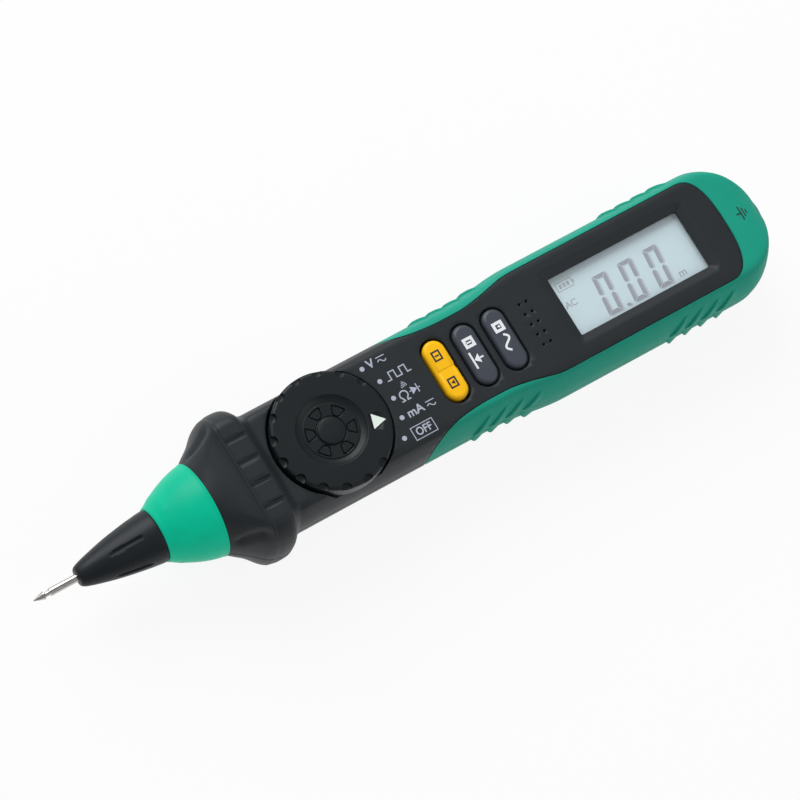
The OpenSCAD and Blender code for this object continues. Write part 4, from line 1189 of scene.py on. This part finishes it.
# %% The light ring
RING = [
    (33.75, 6.95), (34.1, 7.25), (35.2, 7.9), (36.4, 8.6), (38.2, 9.55), (39.9, 10.32), (41.7, 11.02),
    (43.4, 11.55), (45.2, 11.98), (46.5, 12.2),
]
RING_WALL = 0.85
ring_skin = smooth_profile(RING, 0.5)
lip_front = [(33.7, 6.7), (33.7, 6.82), (33.78, 6.98)]
lip_rear = [(46.55, 12.28), (46.75, 12.3), (46.93, 12.22), (46.98, 12.0), (47.0, 11.0)]
skin = turned_along("light_ring", lip_front + ring_skin + lip_rear, 192)
inner = overlap(cad_copy("light_ring"), rod("flange_way", 30, 60, 10.6))
deep = [(33.0, 6.0), (33.4, 6.0)] + [(x, r - RING_WALL) for x, r in ring_skin] + [(46.9, 11.3), (47.4, 11.3)]
way = cut(turned_along("ring_way", deep, 192), cad_copy("light_ring"))
cut(skin, way)
join_solid(skin, inner)
finished(skin, "light_ring", corner=50)

# %% [markdown]
# Print is thin ink, so it is made of flat plates that stand a few hundredths of a millimetre proud: discs,
# ribbons of constant width, and plain lettering. A picture on the surface could do it too, but plates stay
# sharp at any distance.

# %% Flat marks


def ink(name, colour):
    finish = Finish(name)
    finish.uneven(finish.noise(0.6, 3.0), colour, 0.05, 0.5, 0.04)
    return finish.material


def spaced(points, step, closed):
    """The same line with points no further apart than a step."""
    ends = points[1:] + ([points[0]] if closed else [])
    line = []
    for here, there in zip(points, ends):
        count = max(1, math.ceil((there - here).length / step))
        line += [here.lerp(there, k / count) for k in range(count)]
    return line if closed else line + [points[-1]]


def ribbon(points, width, low, high, closed=False):
    """A thin line of constant width through points."""
    points = spaced([Vector(p) for p in points], 0.8, closed)
    count = len(points)
    left, right_side = [], []
    for i, spot in enumerate(points):
        ahead = points[(i + 1) % count] if closed or i < count - 1 else spot
        behind = points[i - 1] if closed or i else spot
        first = (spot - behind).normalized() if behind is not spot else (ahead - spot).normalized()
        second = (ahead - spot).normalized() if ahead is not spot else first
        miter = Vector((-(first + second).y, (first + second).x)).normalized()
        reach = width / 2 / max(miter.dot(Vector((-first.y, first.x))), 0.5)
        left.append(spot + reach * miter)
        right_side.append(spot - reach * miter)
    if not closed:
        return [plate(left + right_side[::-1], low, high, "ribbon")]
    pieces = []
    for i in range(count):
        j = (i + 1) % count
        pieces.append(plate([left[i], left[j], right_side[j], right_side[i]], low, high, "ribbon"))
    return pieces


print("ribbon and ink ready")

# %% [markdown]
# Letters are text turned into a mesh, with their points merged, so that they are closed solids too. On the
# rounded face the finished print is draped: each point sinks as far as the surface does.

# %% Letters and finished prints


def letters(text, x, y, size, low, high, stretch=1.0):
    """Plain lettering, centred on a pen place and read along the meter."""
    nothing_selected()
    bpy.ops.object.text_add(location=(0, 0, 0))
    curve = bpy.context.object
    curve.data.body = text
    curve.data.size = size * MM
    curve.data.align_x, curve.data.align_y = "CENTER", "CENTER"
    curve.data.extrude = (high - low) / 2 * MM
    curve.data.offset = 0.02 * size * MM
    bpy.ops.object.convert(target="MESH")
    bpy.context.object.scale.x = stretch
    bpy.context.object.location = pen(x, y, (low + high) / 2)
    bpy.ops.object.transform_apply()
    return [merged(bpy.context.object, 1e-7)]


def printed(name, pieces, finish, body="meter", drape=False):
    obj = together(name, pieces)
    if drape:
        for v in obj.data.vertices:
            x, y = (v.co.x - tip_x) / MM, v.co.y / MM
            v.co.z += (surface_z(x, y, False) - face) * MM
    obj.data.materials.clear()
    obj.data.materials.append(finish)
    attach(obj, body)
    print(name, len(obj.data.polygons), "faces")


print("letters ready")

# %% [markdown]
# The display is a glass cell under a clear window. The window is the CAD solid with a finish that lets
# light through. The digits are real segments, one set of thin plates on the glass and a fainter set beside
# them, because a liquid crystal throws a small shadow on its own backing.

# %% The digits
GLASS = span("lcd_glass")[1].z
SLANT = math.tan(math.radians(6))
DIGIT_W, DIGIT_H, STROKE, BREAK = 4.0, 10.7, 1.05, 0.13
DIGITS_X, DIGITS_Y, POINT_X = (158.2, 165.75, 173.3), -7.0, 163.7
ZERO = "abcdef"


def segment(letter):
    """One bar of a seven-segment digit, as an outline in a box from (0, 0) to (width, height)."""
    w, h, t, g = DIGIT_W, DIGIT_H, STROKE, BREAK
    bar = [(0, h - g), (t, h - t - g), (t, (h + t) / 2 + g), (t / 2, h / 2 + g), (0, (h + t) / 2 + g)]
    if letter in "ad":
        bar = [(g, h), (w - g, h), (w - t - g, h - t), (t + g, h - t)]
    if letter in "bc":
        bar = [(w - x, y) for x, y in bar]
    if letter in "cde":
        bar = [(x, h - y) for x, y in bar]
    return bar


def rectangle(x0, y0, x1, y1):
    return [(x0, y0), (x1, y0), (x1, y1), (x0, y1)]


def digits(dx, dy, low, high):
    pieces = []
    for x0 in DIGITS_X:
        for letter in ZERO:
            bar = [(x0 + x + y * SLANT + dx, DIGITS_Y + y + dy) for x, y in segment(letter)]
            pieces.append(plate(bar, low, high))
    x, y = POINT_X + dx, DIGITS_Y + dy
    pieces.append(plate(rectangle(x, y, x + 0.9, y + 0.8), low, high))
    return pieces


lcd_ink = ink("segment_grey", (0.25, 0.265, 0.33))
shadow_ink = ink("segment_shadow", (0.43, 0.52, 0.57))
faint_ink = ink("symbol_grey", (0.33, 0.37, 0.42))
printed("digit_shadow", digits(0.45, -0.3, GLASS - 0.02, GLASS + 0.008), shadow_ink)
printed("digit_segments", digits(0, 0, GLASS - 0.02, GLASS + 0.018), lcd_ink)
LCD_Z = (GLASS - 0.02, GLASS + 0.015)
symbols = letters("m", 180.6, -5.9, 2.9, *LCD_Z) + letters("AC", 151.3, 0.3, 2.4, *LCD_Z)
symbols += ribbon(rectangle(150.2, 4.2, 154.6, 6.4), 0.22, *LCD_Z, closed=True)
symbols += [plate(rectangle(x, 4.75, x + 0.7, 5.85), *LCD_Z) for x in (150.9, 152.0, 153.1)]
symbols += [plate(rectangle(154.75, 4.9, 155.15, 5.7), *LCD_Z)]
printed("display_symbols", symbols, faint_ink)

# %% [markdown]
# The dial's settings are dots on an arc around the knob, each with its symbol: volts, pulses, ohms with
# sound and diode, milliamps, and OFF in a box.

# %% The print around the dial
INK_Z = (face - 0.02, face + 0.015)
DOT_R = 17.9


def level_wave(x, y):
    """A line over a wave, for direct or alternating current."""
    wave = [(x - 1.15 + 2.3 * k / 12, y - 0.55 + 0.38 * math.sin(2 * math.pi * k / 12)) for k in range(13)]
    return ribbon([(x - 1.2, y + 0.55), (x + 1.2, y + 0.55)], 0.24, *INK_Z) + ribbon(wave, 0.26, *INK_Z)


marks = []
for setting in range(5):
    spot = dial(DOT_R, SETTING * (3 - setting))
    marks.append(plate(arc(*spot, 0.62, 0, 345, 23), *INK_Z))
marks += letters("V", 98.2, 10.0, 3.1, *INK_Z) + level_wave(101.2, 10.1)
pulse = [(99.7, 4.2), (100.8, 4.2), (100.8, 6.2), (102.3, 6.2), (102.3, 4.2), (103.8, 4.2), (103.8, 6.2),
         (105.3, 6.2), (105.3, 4.2), (106.4, 4.2)]
marks += ribbon(pulse, 0.3, *INK_Z)
bow = arc(101.35, -0.45, 1.05, 238, -58, 20)
marks += ribbon([(100.1, -1.9), (100.95, -1.9), *bow, (101.75, -1.9), (102.6, -1.9)], 0.34, *INK_Z)
for r in (0.5, 0.95, 1.4, 1.85):
    marks += ribbon(arc(101.5, 1.05, r, 10, 62, 8), 0.2, *INK_Z)
marks.append(plate([(103.55, 0.65), (103.55, -1.45), (105.15, -0.4)], *INK_Z))
marks += ribbon([(105.25, 0.75), (105.25, -1.55)], 0.28, *INK_Z)
for x0, x1 in ((103.0, 103.6), (105.3, 105.95)):
    marks += ribbon([(x0, -0.4), (x1, -0.4)], 0.26, *INK_Z)
marks += letters("mA", 101.8, -5.15, 3.1, *INK_Z) + level_wave(106.1, -5.1)
marks += letters("OFF", 101.2, -10.1, 2.8, *INK_Z, stretch=0.88)
marks += ribbon(rectangle(98.2, -11.75, 104.2, -8.45), 0.22, *INK_Z, closed=True)
printed("dial_print", marks, ink("print_blue_grey", (0.43, 0.47, 0.57)), drape=True)

# %% [markdown]
# The keys carry plain icons: a boxed bar and an arrow to a line for the largest value, a boxed arrow and a
# wave for the function, and two boxes on the rocker. Each print rides on its key's body.

# %% The symbols on the keys
KEY_Z = (KEY_TOP - 0.02, KEY_TOP + 0.012)
white_ink = ink("print_white", (0.85, 0.87, 0.9))
dark_ink = ink("print_dark", (0.02, 0.02, 0.022))


def box_symbol(cx, cy, half_x, half_y, width):
    outline = rectangle(cx - half_x, cy - half_y, cx + half_x, cy + half_y)
    return ribbon(outline, width, *KEY_Z, closed=True)


x = max_x
peak = box_symbol(x, 3.2, 1.05, 0.98, 0.75)
peak += ribbon([(x + 0.8, 3.2), (x - 0.8, 3.2)], 0.42, *KEY_Z)
peak += ribbon([(x - 1.45, 0.9), (x - 1.45, -3.6)], 0.5, *KEY_Z)
peak.append(plate([(x - 1.15, -1.35), (x + 0.35, -0.1), (x + 0.35, -2.6)], *KEY_Z))
peak += ribbon([(x + 0.3, -1.35), (x + 1.4, -1.35)], 0.42, *KEY_Z)
printed("max_key_print", peak, white_ink, "max_button")
x = func_x
choice = box_symbol(x, 3.2, 1.05, 0.98, 0.75)
choice.append(plate([(x - 0.4, 3.2), (x + 0.45, 2.8), (x + 0.45, 3.6)], *KEY_Z))
wave = [(x + math.sin(2 * math.pi * k / 18), 1 - 4.4 * k / 18) for k in range(19)]
choice += ribbon(wave, 0.55, *KEY_Z)
printed("func_key_print", choice, white_ink, "func_button")
x = rocker_x
hold = box_symbol(x - 0.2, 4.0, 0.95, 1.15, 0.45)
hold += ribbon([(x - 0.8, 4.0), (x + 0.4, 4.0)], 0.4, *KEY_Z)
hold += box_symbol(x - 0.2, -3.6, 0.95, 1.15, 0.45)
hold.append(plate([(x - 0.75, -3.6), (x + 0.3, -4.2), (x + 0.3, -3.0)], *KEY_Z))
printed("rocker_print", hold, dark_ink, "rocker")

# %% [markdown]
# An earth symbol beside the socket says where the second lead goes. It is draped over the rounded end.

# %% The mark at the socket
earth = ribbon([(201.6, 0), (200.2, 0)], 0.4, *INK_Z)
for x, reach, width in ((201.6, 1.9, 0.42), (202.5, 1.25, 0.38), (203.3, 0.6, 0.36)):
    earth += ribbon([(x, -reach), (x, reach)], width, *INK_Z)
printed("socket_print", earth, ink("print_deep_green", (0.008, 0.03, 0.024)), drape=True)
